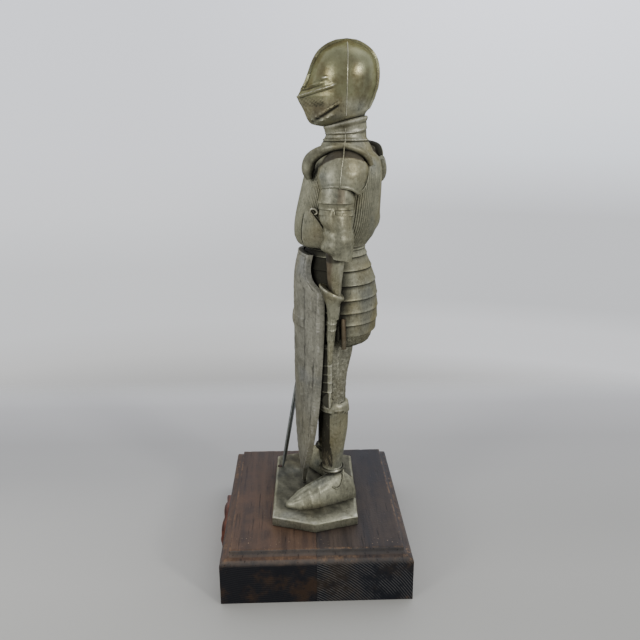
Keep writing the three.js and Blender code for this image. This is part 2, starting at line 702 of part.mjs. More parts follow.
function addPiece(name, solid, material) {
  const { vertProperties, triVerts } = solid.getMesh();
  const geometry = new THREE.BufferGeometry();
  geometry.setAttribute('position', new THREE.BufferAttribute(vertProperties, 3));
  geometry.setIndex(new THREE.BufferAttribute(triVerts, 1));
  const mesh = new THREE.Mesh(geometry, material);
  mesh.name = name;
  statuette.add(mesh);
}

addPiece('knight', knight(), pewter);
addPiece('shield', shield(), greyMetal);
addPiece('sword', sword(), steel);
addPiece('base_board_front', board(-1), wood);
addPiece('base_board_rear', board(1), wood);
addPiece('plaque', plaque(), redBrown);
nails.forEach(nail => addPiece(nail.name, nailPin(nail.place), rust));

export default statuette;
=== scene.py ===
import math
from bisect import bisect_right

import bmesh
import bpy
from mathutils import Matrix, Vector, noise


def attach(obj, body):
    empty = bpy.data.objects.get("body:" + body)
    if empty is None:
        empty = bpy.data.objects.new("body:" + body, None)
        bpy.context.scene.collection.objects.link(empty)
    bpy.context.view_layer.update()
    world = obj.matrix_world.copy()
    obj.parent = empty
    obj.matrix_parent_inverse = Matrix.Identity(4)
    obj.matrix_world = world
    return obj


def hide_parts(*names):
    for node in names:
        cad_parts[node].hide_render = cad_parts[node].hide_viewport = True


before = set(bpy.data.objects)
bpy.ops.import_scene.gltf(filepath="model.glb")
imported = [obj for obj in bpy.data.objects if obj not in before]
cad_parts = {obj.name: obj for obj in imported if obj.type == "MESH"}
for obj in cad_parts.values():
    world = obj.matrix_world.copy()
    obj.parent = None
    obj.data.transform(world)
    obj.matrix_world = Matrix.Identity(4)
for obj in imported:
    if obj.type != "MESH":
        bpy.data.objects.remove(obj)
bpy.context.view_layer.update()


# The base is two boards of hardwood glued edge to edge, with a nose and a cove cut round the
# upper edge. It is stained dark brown and waxed, and handling has worn its edges back to tan.
base_width, base_depth, seam = 118.6, 100.0, 0.1
base_side, nose, cove_rise, cove_inset, panel_rise = 22.6, 2.8, 1.2, 1.9, 2.0
base_height = base_side + nose + cove_rise + panel_rise


class Wire:
    """One socket of a material. Arithmetic on it adds Math nodes, and node() adds any other."""

    def __init__(self, socket):
        self.socket = socket

    def node(self, kind, sockets, settings=None, stops=(), out=0):
        tree = self.socket.id_data
        made = tree.nodes.new("ShaderNode" + kind)
        for key, value in (settings or {}).items():
            setattr(made, key, value)
        if stops:
            ramp = made.color_ramp.elements
            while len(ramp) < len(stops):
                ramp.new(1.0)
            for element, (place, color) in zip(ramp, stops):
                element.position = place
                element.color = (*color, 1.0)
        for key, value in sockets.items():
            if isinstance(value, Wire):
                tree.links.new(value.socket, made.inputs[key])
            else:
                made.inputs[key].default_value = value
        return Wire(made.outputs[out])

    def math(self, operation, *others):
        values = dict(enumerate((self, *others)))
        return self.node("Math", values, {"operation": operation})

    def __add__(self, other):
        return self.math("ADD", other)

    __radd__ = __add__

    def __mul__(self, other):
        return self.math("MULTIPLY", other)

    __rmul__ = __mul__

    def __sub__(self, other):
        return self.math("SUBTRACT", other)

    def __rsub__(self, other):
        return self.math("MULTIPLY", -1.0).math("ADD", other)

    def clamped(self):
        return self.node("Clamp", {"Value": self})

    def axis(self, k):
        """The X, Y or Z part of a vector, for k 0, 1 or 2"""
        return self.node("SeparateXYZ", {"Vector": self}, out=k)

    def between(self, low, high):
        """0 below low, 1 above high, and smooth between them"""
        sockets = {"Value": self, "From Min": low, "From Max": high}
        return self.node("MapRange", sockets, {"interpolation_type": "SMOOTHSTEP"})

    def stretched(self, x, y, z):
        return self.node("Mapping", {"Vector": self, "Scale": (x, y, z)})

    def noise(self, scale, detail=3.0, roughness=0.5):
        sockets = {"Vector": self, "Scale": scale, "Detail": detail, "Roughness": roughness}
        return self.node("TexNoise", sockets)

    def mix(self, first, second):
        """From the first colour to the second as this value goes from 0 to 1"""
        colors = {6: first, 7: second}
        sockets = {0: self, **{k: (*c, 1.0) if isinstance(c, tuple) else c for k, c in colors.items()}}
        return self.node("Mix", sockets, {"data_type": "RGBA"}, out=2)

    def bump(self, strength, distance):
        return self.node("Bump", {"Height": self, "Strength": strength, "Distance": distance})


def material(name, paint, **constants):
    """A material whose constant sockets are set and whose other sockets paint() wires"""
    made = bpy.data.materials.new(name)
    made.use_nodes = True
    shader = made.node_tree.nodes["Principled BSDF"]
    for key, value in constants.items():
        shader.inputs[key.replace("_", " ")].default_value = value
    place = made.node_tree.nodes.new("ShaderNodeTexCoord").outputs["Object"]
    for key, wire in paint(Wire(place)).items():
        made.node_tree.links.new(wire.socket, shader.inputs[key])
    return made


def attribute(place, name):
    return place.node("Attribute", {}, {"attribute_name": name}, out=2)


def times(color, factor):
    return tuple(c * factor for c in color)


def placed(name, data):
    made = bpy.data.objects.new(name, data)
    bpy.context.scene.collection.objects.link(made)
    return made


def piece(name, bm, finish, nodes, sharp=35):
    """A mesh drawn in millimetres becomes a piece that stands for its CAD nodes"""
    bmesh.ops.transform(bm, matrix=Matrix.Scale(0.001, 4), verts=bm.verts)
    mesh = bpy.data.meshes.new(name)
    bm.to_mesh(mesh)
    bm.free()
    mesh.shade_smooth()
    mesh.set_sharp_from_angle(angle=math.radians(sharp))
    mesh.materials.append(finish)
    made = placed(name, mesh)
    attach(made, "root")
    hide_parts(*nodes)


def extruded(bm, faces, keep=False):
    """The new faces and the new points of an extrusion. The old faces stay, inside the body"""
    made = bmesh.ops.extrude_face_region(bm, geom=faces, use_keep_orig=keep)["geom"]
    return [[g for g in made if isinstance(g, kind)] for kind in (bmesh.types.BMFace, bmesh.types.BMVert)]


def board(side):
    """One board: a sheet of squares, extruded upwards step by step through the moulding"""
    bm = bmesh.new()
    worn = bm.verts.layers.float.new("wear_and_painted_light")
    nose_steps = 5
    turns = [i / nose_steps * math.pi / 2 for i in range(nose_steps + 1)]
    cove_foot = base_side + nose
    panel_inset = nose + cove_inset
    profile = [(0.2, 0.0, 0.25), (base_side * 0.5, 0.0, 0.0), (base_side - 0.5, 0.0, 0.2)]
    for turn in turns:
        inset = nose * (1 - math.cos(turn))
        profile.append((base_side + nose * math.sin(turn), inset, 0.3 + 0.35 * math.sin(turn)))
    profile += [
        (cove_foot + 0.3, nose + cove_inset * 0.6, 0.0),
        (cove_foot + cove_rise * 0.6, nose + cove_inset * 0.9, 0.0),
        (cove_foot + cove_rise, panel_inset, 0.0),
        (base_height - 0.5, panel_inset, 0.35),
        (base_height - 0.15, panel_inset + 0.15, 0.9),
        (base_height, panel_inset + 0.5, 0.8),
    ]

    def reach(inset):
        return base_width - 2 * inset, base_depth / 2 - inset - seam / 2

    bmesh.ops.create_grid(bm, x_segments=80, y_segments=34, size=0.5)
    width, depth = reach(0.2)
    for v in bm.verts:
        v.co = Vector((v.co.x * width, (v.co.y + 0.5) * depth, 0))
    top = list(bm.faces)
    for step, (z, inset, wear_here) in enumerate(profile):
        top, points = extruded(bm, top, step == 0)
        wide, deep = reach(inset)
        for v in points:
            v.co = Vector((v.co.x / width * wide, v.co.y / depth * deep, z))
            at_edge = abs(v.co.x) > wide / 2 - 0.01 or v.co.y > deep - 0.01
            v[worn] = wear_here if at_edge else 0.0
        width, depth = wide, deep
    for v in bm.verts:
        v.co.y = side * (v.co.y + seam / 2)
        corner = abs(v.co.x) > base_width / 2 - 4 and abs(v.co.y) > base_depth / 2 - 4
        rub_and_highlight = noise.noise(v.co * 0.35) * 0.5 + noise.noise(v.co * 1.1) * 0.5
        v[worn] += 0.25 if corner and v[worn] > 0.2 else 0.0
        dent = max(0.0, rub_and_highlight) * 0.5 * v[worn]
        inwards = Vector((-math.copysign(1, v.co.x) * (abs(v.co.x) > base_width / 2 - 6), 0, -1))
        if v.co.z > 1:
            v.co += inwards * dent
    bmesh.ops.recalc_face_normals(bm, faces=bm.faces)
    return bm


def wood(deep, dark, worn_back, dust, saw_share):
    """Stained wood: streaks along X, saw marks across the end grain, and worn tan edges"""

    def paint(place):
        facing = place.node("NewGeometry", {}, out=1)
        endways = facing.axis(0).math("ABSOLUTE")
        low = place.axis(2).between(0.0245, 0.0215)
        end_grain = (endways.between(0.6, 0.9) * low).clamped()
        upwards = facing.axis(2).between(0.6, 0.95)
        streaks = place.stretched(14, 210, 210).noise(1.0, 6.0, 0.65)
        zones = place.stretched(9, 42, 42).noise(1.0, 2.0, 0.5)
        cloud = place.noise(55.0, 4.0, 0.65)
        pores = place.stretched(60, 900, 900).noise(1.0, 2.0, 0.5).between(0.6, 0.74)
        below = place.node("Mapping", {"Vector": place, "Location": (0.0, 0.03, 0.05)})
        waves = {"Vector": below, "Scale": 250.0, "Distortion": 1.2, "Detail": 1.0, "Detail Scale": 0.5}
        kind = {"wave_type": "RINGS", "rings_direction": "X"}
        saw = below.node("TexWave", waves, kind, out=1).between(0.68, 1.0)
        saw = (saw * place.noise(95.0, 3.0, 0.6).between(0.34, 0.52) * saw_share).clamped()
        flank = streaks.between(0.32, 0.68).mix(times(deep, 0.35), times(deep, 1.5))
        flank = zones.between(0.42, 0.6).mix(flank, streaks.between(0.3, 0.7).mix(dark, deep))
        ends = cloud.between(0.48, 0.66).mix(times(dark, 0.5), times(deep, 0.42))
        ends = (saw * 0.62).mix(ends, (0.15, 0.145, 0.135))
        color = end_grain.mix(flank, ends)
        moulded = endways.between(0.25, 0.6)
        color = (moulded * (1 - low) * (0.35 + 0.4 * streaks)).clamped().mix(color, (0.105, 0.098, 0.09))
        color = (upwards * (0.25 + 0.5 * cloud.between(0.4, 0.7))).mix(color, times(deep, 1.7))
        far = place.axis(0).between(0.03, -0.05)
        rightwards = place.axis(1).between(0.0, 0.03)
        color = (far * 0.45 + rightwards * 0.3).clamped().mix(color, times(dark, 0.8))
        color = (pores * 0.6).mix(color, times(dark, 0.3))
        rubbed_and_lit = place.noise(260.0, 5.0, 0.7).between(0.42, 0.62)
        patchy = place.noise(38.0, 2.0, 0.5).between(0.45, 0.6)
        fine = place.noise(900.0, 2.0, 0.5).between(0.35, 0.6)
        edge = attribute(place, "wear_and_painted_light")
        worn = (edge.between(0.2, 1.0) * rubbed_and_lit * (0.3 + 0.7 * patchy) * (0.4 + 0.6 * fine) * 0.8).clamped()
        color = worn.mix(color, worn_back)
        specks = place.node("TexVoronoi", {"Vector": place, "Scale": 460.0}).between(0.16, 0.08)
        near_edge = place.axis(0).between(0.025, 0.052)
        sparse = place.noise(70.0, 2.0).between(0.52, 0.64)
        spots = (specks * sparse * upwards * (0.25 + 0.75 * near_edge)).clamped()
        color = (spots * dust).mix(color, (0.42, 0.3, 0.19))
        height = streaks * 0.6 + pores * -0.5 + saw * end_grain * 0.5 + fine * 0.15
        return {
            "Base Color": color,
            "Roughness": (0.45 + 0.25 * cloud + 0.2 * worn + 0.1 * end_grain).clamped(),
            "Normal": height.bump(0.45, 0.0004),
        }

    return paint


boards = [
    ("front", -1, (0.078, 0.047, 0.03), (0.0155, 0.016, 0.0215), (0.27, 0.16, 0.085), 0.9, 0.12),
    ("rear", 1, (0.056, 0.041, 0.031), (0.0135, 0.0155, 0.022), (0.3, 0.18, 0.095), 0.8, 1.0),
]
for end, side, *stains in boards:
    stained = material(f"stained_wood_{end}", wood(*stains), Specular_IOR_Level=0.16)
    piece(f"base_{end}_board", board(side), stained, [f"base_board_{end}"])


# The knight and the long six-sided plate below are one hollow casting of spelter, poured in a two-part mould that
# left a seam up each side. It has an olive-brown patina, darkest in the hollows, and its edges are rubbed bright.
# In places shade and highlights are also painted into its colour.
gap, plate_thick = 0.3, 7.1
plate_top = base_height + gap + plate_thick
figure = Matrix.Translation((0, 0, plate_top))


def metal_mesh():
    """An empty mesh whose points carry how rubbed the metal is, with painted light and shade mixed in, how brown,
    and whether it is mail
    """
    bm = bmesh.new()
    for name in ("wear_and_painted_light", "brown", "mail"):
        bm.verts.layers.float.new(name)
    return bm


casting = metal_mesh()


def smooth(table, z):
    """The row of a table at z, on a curve through its rows"""
    k = min(max(bisect_right([row[0] for row in table], z) - 1, 0), len(table) - 2)
    a, b = table[k], table[k + 1]
    before, after = table[max(k - 1, 0)], table[min(k + 2, len(table) - 1)]
    span = b[0] - a[0]
    t = (z - a[0]) / span
    found = [z]
    for p0, p1, p2, p3 in list(zip(before, a, b, after))[1:]:
        m1 = (p2 - p0) / (b[0] - before[0]) * span
        m2 = (p3 - p1) / (after[0] - a[0]) * span
        rise = (2 * t**3 - 3 * t**2 + 1) * p1 + (t**3 - 2 * t**2 + t) * m1
        found.append(rise + (3 * t**2 - 2 * t**3) * p2 + (t**3 - t**2) * m2)
    return found


def levels(low, high, step, edges=()):
    """Heights from low to high, a step apart, and close together at each edge"""
    count = math.ceil((high - low) / step)
    found = {round(low + (high - low) * i / count, 3) for i in range(count + 1)}
    for edge in edges:
        near = [round(edge + shift, 3) for shift in (-0.6, -0.3, -0.1, 0.1, 0.35, 0.7)]
        found.update(z for z in near if low < z < high)
    return sorted(found)


def lay(bm, rings, place, marks, cloth=0.0):
    """A closed skin over rings of points: a sheet of squares is rolled on to them, its seam is merged, and its ends
    are closed. Each mark is how rubbed a point is, with painted light and shade mixed in, and how brown."""
    rows, around = len(rings) - 1, len(rings[0])
    wear_and_painted_light, brown, mail = (bm.verts.layers.float[name] for name in ("wear_and_painted_light", "brown", "mail"))
    sheet = bmesh.ops.create_grid(bm, x_segments=around, y_segments=rows, size=0.5)["verts"]
    for v in sheet:
        k, row = round((v.co.x + 0.5) * around) % around, round((v.co.y + 0.5) * rows)
        v.co = place @ rings[row][k]
        v[wear_and_painted_light], v[brown] = marks[row][k]
        v[mail] = cloth
    bmesh.ops.remove_doubles(bm, verts=sheet, dist=1e-4)
    left = [v for v in sheet if v.is_valid]
    rim = {e for v in left for e in v.link_edges if e.is_boundary}
    ends = bmesh.ops.holes_fill(bm, edges=list(rim))["faces"] if rim else []
    bmesh.ops.triangulate(bm, faces=ends)
    skin = {f for v in left for f in v.link_faces}
    bmesh.ops.recalc_face_normals(bm, faces=list(skin))


def form(table, heights, around, relief=None, place=figure, warp=None, cloth=0.0, bm=None):
    """A form from level sections. A table's row is a section's height, its front and back in Y, half its width, how
    square its front half is, its middle in X and its tilt. around is a count of points, or their angles from the
    front. relief() gives how far a point stands out of the skin, how rubbed it is, with painted light and shade
    mixed in, and, if it likes, how brown."""
    full = [tuple(row) + (2, 0, 0)[len(row) - 4:] for row in table]
    angles = around if isinstance(around, list) else [k / around * 2 * math.pi for k in range(around)]
    grid, middles = [], []
    for height in heights:
        z, front, back, half, square, x, tilt = smooth(full, height)
        middle, deep = (front + back) / 2, (back - front) / 2
        ring = []
        for angle in angles:
            s, c = math.sin(angle), -math.cos(angle)
            power = 2 / (square if c < 0 else 2)
            px = x + half * math.copysign(abs(s) ** power, s)
            py = deep * math.copysign(abs(c) ** power, c)
            ring.append(Vector((px, middle + py, z + tilt * py)))
        grid.append(ring)
        middles.append(x)
    rings, marks = [], []
    for row, ring in enumerate(grid):
        above, below = grid[min(row + 1, len(grid) - 1)], grid[max(row - 1, 0)]
        skin, mark = [], []
        for k, p in enumerate(ring):
            out = (ring[(k + 1) % len(ring)] - ring[k - 1]).cross(above[k] - below[k]).normalized()
            found = relief(angles[k], p.z, p.x - middles[row], p.y) if relief else (0.0, 0.0)
            rise, rub_and_highlight, tint = (*found, 0.0)[:3]
            p = p + out * rise
            skin.append(warp(p) if warp else p)
            mark.append((rub_and_highlight, tint))
        rings.append(skin)
        marks.append(mark)
    lay(bm or casting, rings, place, marks, cloth)


def path(points, steps):
    """Points on a smooth curve through points"""
    table = [(i, *p) for i, p in enumerate(points)]
    return [Vector(smooth(table, i / steps * (len(points) - 1))[1:]) for i in range(steps + 1)]


def tube(points, radii, around=12, steps=24, flat=1.0, bright=0.0, brown=0.0,
         place=figure, up=(0, 0, 1), relief=None, bm=None):
    """A round or flattened bar swept along a smooth path, with a radius for each point"""
    line = path(points, steps)
    table = list(enumerate(radii))
    rings, marks = [], []
    side = Vector(up)
    for i, p in enumerate(line):
        ahead = (line[min(i + 1, steps)] - line[max(i - 1, 0)]).normalized()
        out = ahead.cross(side).normalized()
        side = out.cross(ahead).normalized()
        radius = smooth(table, i / steps * (len(radii) - 1))[1]
        ring, mark = [], []
        for k in range(around):
            angle = k / around * 2 * math.pi
            rise, rub_and_highlight = relief(angle, i / steps) if relief else (0.0, 0.0)
            spoke = out * math.cos(angle) + side * (math.sin(angle) * flat)
            ring.append(p + spoke * (radius + rise))
            mark.append((bright + rub_and_highlight, brown))
        rings.append(ring)
        marks.append(mark)
    lay(bm or casting, rings, place, marks)


def ripple(x, y, z):
    """Smooth noise, mostly within 0.5 of 0"""
    return noise.noise(Vector((x, y, z)))


def ridge(distance, width):
    return math.exp(-((distance / width) ** 2))


def fade(value, low, high):
    t = min(1.0, max(0.0, (value - low) / (high - low)))
    return t * t * (3 - 2 * t)


def within(value, low, high, soft):
    """1 from low to high, and fading to 0 outside them"""
    return fade(value, low - soft, low) * (1 - fade(value, high, high + soft))


# Helmet: a close helmet beaten to a point at the visor, with a low comb from brow to nape,
# a beaded lip under the sight, and two turned edges at the jaw. The visor is shut.
skull = [
    (204.4, 5.4, 26.8, 10.2, 2, 0, 0.24), (205.8, -0.4, 27.4, 12.6, 1.8, 0, 0.19),
    (209.6, -4, 28.3, 13.9, 1.6), (215.4, -7, 31.2, 14.8, 1.45), (218, -6.2, 32, 15, 1.5),
    (221, -4, 33, 15.2, 1.7), (227, -1.4, 33.5, 15.2, 1.9), (232.5, 0.7, 32.8, 14, 2),
    (237.2, 3.6, 30.2, 11.6, 2), (240.4, 7.8, 26.2, 7.8, 2), (242.1, 12, 22.4, 4.4, 2),
    (242.75, 15, 19.8, 2, 2), (242.8, 17.2, 17.6, 0.2, 2),
]


def helmet_relief(angle, z, x, y):
    flank = fade(abs(x), 0.7, 2.4)
    comb_foot = 218.5 if y < 16 else 209.5
    on_comb = fade(z, comb_foot, comb_foot + 1.5)
    crest, beside = 1 - fade(abs(x), 0.8, 1.15), fade(abs(x), 0.8, 1.2) * (1 - fade(abs(x), 5, 12))
    comb = on_comb * (0.65 * crest - 0.75 * beside - 0.25 * ridge(abs(x) - 1.35, 0.3))
    bead = z - 216.05 - 0.27 * (y + 7.6)
    rope = ridge(bead, 0.5) * (1 - fade(y, 11.5, 12.5)) * (0.66 + 0.34 * math.cos(4.4 * (y + 0.6 * bead)))
    turn, ray = math.atan2(z - 220.6, y - 6.3), math.hypot(y - 6.3, z - 220.6) - 4
    arc = ridge(ray, 0.5) * within(turn, 0.2, 1.6, 0.2) * (0.6 + 0.4 * math.cos(turn * 25))
    slot = within(z - 219.75 - 0.19 * (y + 3), -0.3, 0.3, 0.25) * within(y, -3.9, 4.8, 0.8) * flank
    brow = ridge(z - 221.6 - 0.12 * (y - 1.5), 0.55) * within(y, -1, 3.4, 1.8) * flank
    over_brow = ridge(z - 223 - 0.09 * (y - 3), 0.3) * within(y, 1, 5.4, 1) * flank
    spot = ridge(math.hypot(y - 5.3, z - 224.3), 0.75)
    keel = ridge(y + 6.1 - 0.42 * (215.3 - z), 0.35) * within(z, 212, 214.8, 0.8) * flank
    hatched = within(z, 211.6, 215.4, 0.6) * within(y, -5, 5, 1.6)
    wander = ripple(y * 0.5, z * 0.5, x)
    hatch = hatched * (0.35 + 0.4 * math.cos(3.2 * y + wander) * math.cos(3.6 * (z - 0.2 * y)))
    jaw = z - 205.25 - 0.6 * y
    on_jaw = within(y, 0.4, 12.2, 1.0)
    first, under = ridge(jaw, 0.5) * on_jaw, ridge(jaw + 1.2, 0.65) * on_jaw
    above = ridge(jaw - 0.85, 0.25) * on_jaw * fade(y, 5, 9)
    lower = z - 202.6 - 0.48 * y
    second = ridge(lower, 0.42) * within(y, 2, 9.8, 1.0)
    patch = within(y, 1.5, 6, 2) * within(z, 206.8, 210.8, 1.2)
    rise = comb + 0.6 * rope + 0.45 * arc - 0.3 * slot + 0.6 * brow - 0.35 * over_brow + 0.4 * spot
    rise += 0.2 * keel - 0.3 * hatch + 0.75 * first + 0.8 * second - 0.5 * under - 0.3 * above
    bright = 0.3 * on_comb * crest + 0.9 * rope + 0.7 * arc + 0.45 * brow + 0.8 * spot + 0.6 * keel
    bright += 0.9 * first + second * (0.9 + 0.4 * fade(y, 6, 9)) - 0.55 * slot - 0.8 * over_brow - 0.9 * hatch
    dulled = 0.35 * within(y, 2, 14, 4) * within(z, 206, 212, 3)
    bright -= 0.8 * ridge(bead + 1.05, 0.4) * (1 - fade(y, 9, 12)) + dulled
    return rise, bright - 0.8 * under - 0.6 * above - 0.5 * on_comb * ridge(abs(x) - 1.35, 0.3), 0.4 * patch


drawn_in = [t - 0.16 * math.sin(2 * t) for t in [k / 150 * 2 * math.pi for k in range(150)]]
form(skull, levels(204.4, 242.8, 0.64, (216.4, 219.6)), drawn_in, helmet_relief)


def seam_up(table, low, high, x_side, y_of):
    """The thin line that the mould's joint left up the side of a form"""
    points = []
    for i in range(9):
        z = low + (high - low) * i / 8
        _, front, back, half = smooth([row[:4] for row in table], z)
        middle, deep = (front + back) / 2, (back - front) / 2
        y = y_of(z)
        x = half * math.sqrt(max(0.0, 1 - ((y - middle) / deep) ** 2))
        points.append((x_side * (x + 0.12), y, z))
    tube(points, [0.28] * 9, 6, 30, bright=0.55, up=(0, 1, 0))


for side in (1, -1):
    seam_up(skull, 207, 241, side, lambda z: 16.6 + 0.02 * (z - 206))


# Gorget: a rolled collar over two neck lames that spread on to the shoulders.
neck = [
    (186, 2.4, 33, 18), (191.6, 4.2, 30.6, 13.6), (195.2, 5.8, 28.8, 11.6), (197, 6.9, 28, 10.7),
    (198.8, 7, 28, 10.8, 2, 0, 0.08), (201, 6.8, 27.9, 11, 2, 0, 0.2), (202.8, 6.2, 28.2, 11.7, 2, 0, 0.22),
    (204.2, 6.2, 28.2, 11.7, 2, 0, 0.22), (205, 7.4, 27.4, 10.7, 2, 0, 0.22),
    (205.4, 9.4, 25.4, 8.6, 2, 0, 0.22),
]


def neck_relief(angle, z, x, y):
    level = z - 0.22 * (y - 17.1) * fade(z, 197, 201)
    steps = ridge(level - 195.4, 0.35) + ridge(level - 198.8, 0.35)
    hollow_and_shade = ridge(level - 202.1, 0.45) + ridge(level - 194.7, 0.35) + 0.7 * ridge(level - 198.1, 0.3)
    roll = ridge(level - 204.1, 0.6)
    behind = ridge(level - 203, 0.3) * fade(y, 18, 24)
    rise = 0.35 * roll + 0.35 * steps + 0.25 * behind - 0.35 * hollow_and_shade
    # Painted highlight: a broad gleam down the side and back of the neck lames.
    gleam = 0.4 * within(y, 9, 22, 4) * fade(z, 195, 197)
    return rise, 0.7 * roll + steps * (0.35 + 0.4 * fade(y, 12, 15)) + 0.5 * behind - 0.9 * hollow_and_shade + gleam


form(neck, levels(186, 205.4, 0.7, (195.4, 198.8)), 84, neck_relief)
seam_up(neck, 187, 201, 1, lambda z: 16.4)


# Cuirass: a full breastplate and backplate with fine flutes that draw in to the waist, a
# plain raised panel on each side, a turned edge round the arm, and a lip at the waist.
trunk = [
    (142, -2, 27, 16.4, 2), (143.2, -7.2, 28.9, 19.6, 2.1), (145, -8.7, 30.6, 21, 2.15),
    (147.6, -9.6, 32.4, 22.4, 2.2), (155, -9.3, 35, 24.8, 2.3), (167, -6.8, 35.9, 26.7, 2.3),
    (180, -3.4, 36, 27.2, 2.3), (187, 0, 34.4, 24.4, 2), (190.5, 4.4, 30.4, 16, 2), (191.8, 7, 28, 11, 2),
]
panel_start, panel_end, front_flutes, panel_flutes, back_flutes = 0.62, 1.9, 30, 24, 40
flute_places = (0.0, 0.17, 0.5, 0.83)


def flute_angles(start, end, count):
    return [start + (end - start) * (i + t) / count for i in range(count) for t in flute_places]


turn_round = 2 * math.pi
trunk_angles = [
    *flute_angles(0, panel_start, front_flutes // 2), *flute_angles(panel_start, panel_end, panel_flutes),
    *flute_angles(panel_end, turn_round - panel_end, back_flutes),
    *flute_angles(turn_round - panel_end, turn_round - panel_start, panel_flutes),
    *flute_angles(turn_round - panel_start, turn_round, front_flutes // 2),
]


def trunk_relief(angle, z, x, y):
    turn = min(angle, turn_round - angle)
    reach = within(z, 145, 181, 3)
    on_panel = panel_start <= turn < panel_end
    if turn < panel_start:
        share = turn / panel_start * front_flutes / 2
    elif on_panel:
        share = (turn - panel_start) / (panel_end - panel_start) * panel_flutes
    else:
        share = (turn - panel_end) / (math.pi - panel_end) * back_flutes / 2
    phase = share % 1
    groove = max(0.0, 1 - min(phase, 1 - phase) / 0.3) ** 1.3
    lip = ridge(z - 142.9, 0.5)
    slit = ridge(turn - panel_start - 0.02, 0.03)
    edge = ridge(turn - panel_start - 0.07, 0.03)
    rear = ridge(turn - panel_end + 0.012, 0.02)
    patch = ridge(math.hypot(y - 1.8, z - 149.4), 2.6) if x > 0 else 0.0
    beaten = 0.16 * ripple(x * 0.3, y * 0.3, z * 0.3)
    if on_panel:
        plain = (1 - fade(z - 1.2 * (turn - 0.9), 158.5, 162.5)) * reach
        deep = (reach - plain) * groove
        rise = plain * (0.3 + 0.15 * edge - 0.4 * slit) - 0.4 * deep - 0.35 * reach * rear + beaten
        bright = plain * (0.25 + 0.3 * edge - 1.5 * slit) + (reach - plain) * 0.3 - 0.7 * deep - reach * rear
        return rise + 0.4 * lip, bright + 0.7 * lip, 0.35 * patch
    deep = reach * groove
    return 0.4 * lip - (0.6 if y > 10 else 0.45) * deep - 0.1 * reach, reach * 0.35 - 0.75 * deep + 0.7 * lip


form(trunk, levels(142, 191.8, 2.5, (142.9,)), trunk_angles, trunk_relief)

def sided(points, side, back=0.0):
    """Points on the left or the right of the body, moved back by so much"""
    return [(side * x, y + back, z) for x, y, z in points]


strap = [(23.2, -1.2, 162.6), (23.9, 1.8, 158.6), (24.4, 4.2, 155.3), (24.2, 6.2, 151.6)]
buckle = [(22.8, -1.7, 161.4), (23.6, -0.9, 163.2), (24.1, 1.1, 163.1), (24.5, 2.1, 161.6), (24.2, 0.7, 160.5)]
for side in (1, -1):
    for shift in (-0.6, 0.6):
        tube(sided(strap, side, shift), [0.4, 0.36, 0.36, 0.3], 8, 20, bright=0.35)
    tube(sided(strap, side), [0.6, 0.5, 0.5, 0.4], 8, 16, bright=-0.9)
    tube(sided(buckle, side), [0.5, 0.6, 0.65, 0.6, 0.45], 8, 20, bright=0.6)


# Skirt: eight lames that widen over the hips, each lapping the one below, above a short
# fringe of mail. A strap of worn brown leather hangs down each hip.
lame_edges = [144, 140.9, 137.6, 131.1, 123.8, 116.3, 109.6, 103.2, 97.5]
hips = [
    (97, -3.6, 34.3, 24.4), (102, -4.2, 35, 24.8), (108, -4.6, 35.3, 24.8), (115, -4.8, 35, 24.4),
    (123, -4.8, 34, 23.4), (130, -4.6, 32, 21.6), (135, -4.2, 30, 19.8),
    (140, -4, 28.4, 18.4), (145, -3.2, 27.4, 17.4),
]


def hips_relief(angle, z, x, y):
    for high, low in zip(lame_edges, lame_edges[1:]):
        if low <= z < high:
            t = (z - low) / (high - low)
            lip = ridge(z - low - 0.4, 0.36)
            rubbed_and_lit = 0.62 + 0.7 * ripple(x * 0.14, y * 0.14, low)
            # Painted shade: the front of the left hip, in the shadow of the arm and shield, is darkened, its lips
            # less so; the skirt is darker all over, and its front more so as painted shade.
            shaded = within(z, 112, 134, 6) * (1 - fade(y, 3, 9)) * fade(x, 4, 12)
            dim = (0.6 * lip - 1.15) * shaded
            dim -= 0.32 + 0.45 * (1 - fade(y, 14, 22))
            return 0.16 * lip - 0.4 * t**0.8, 0.7 * lip * rubbed_and_lit - 0.5 * fade(t, 0.82, 1.0) + dim
    return -0.45, -0.8


form(hips, levels(97.5, 143.9, 2.1, lame_edges[1:-1]), 84, hips_relief)


def mesh_links(u, v, size=1.3):
    """Riveted mail seen small: rows of rings, each row set half a ring along"""
    row = math.floor(v / size)
    along = u / size + 0.5 * (row % 2)
    a, b = along - math.floor(along) - 0.5, v / size - row - 0.5
    return ridge(math.hypot(a, b * 1.1) - 0.3, 0.2)


def fringe_relief(angle, z, x, y):
    link = mesh_links(angle * 27.6, z)
    lump = ripple(x * 0.7, y * 0.7, z * 0.5)
    hem = 0.4 * math.sin(angle * 27.6 / 1.3 * math.pi) * (1 - fade(z, 90.8, 92.6))
    return 0.2 * link + 0.35 * lump + hem - 0.3, 0.15 * link + 0.25 * lump - 0.1


form([(90.4, 2, 28, 19.6), (91.9, -0.6, 31.2, 22.4), (97.7, -2, 33, 23.6)],
     levels(90.4, 97.7, 0.42), 208, fringe_relief, cloth=1.0)

browned = [(24.6, 15.2, 107.2), (25.3, 14.9, 106.2), (25.9, 15.1, 101), (25.8, 15.3, 95.6), (24.6, 15.4, 91)]
edging = [(x - 0.1, y, z) for x, y, z in browned]
tab = [(25, 12.1, 95.6), (25.5, 12.1, 99.4), (25.4, 12.2, 103.4)]
broad = [0.8, 1.1, 1.15, 1.15, 1.15]
for side in (1, -1):
    tube(sided(browned, side), broad, 12, 24, flat=0.45, bright=-0.05, brown=0.8, up=(1, 0, 0))
    for shift in (-1.0, 1.0):
        tube(sided(edging, side, shift), [0.25] * 5, 8, 20, bright=-0.2, brown=0.9)
    tube(sided(tab, side), [0.9, 0.95, 0.7], 12, 12, flat=0.5, bright=-0.8, up=(1, 0, 0))
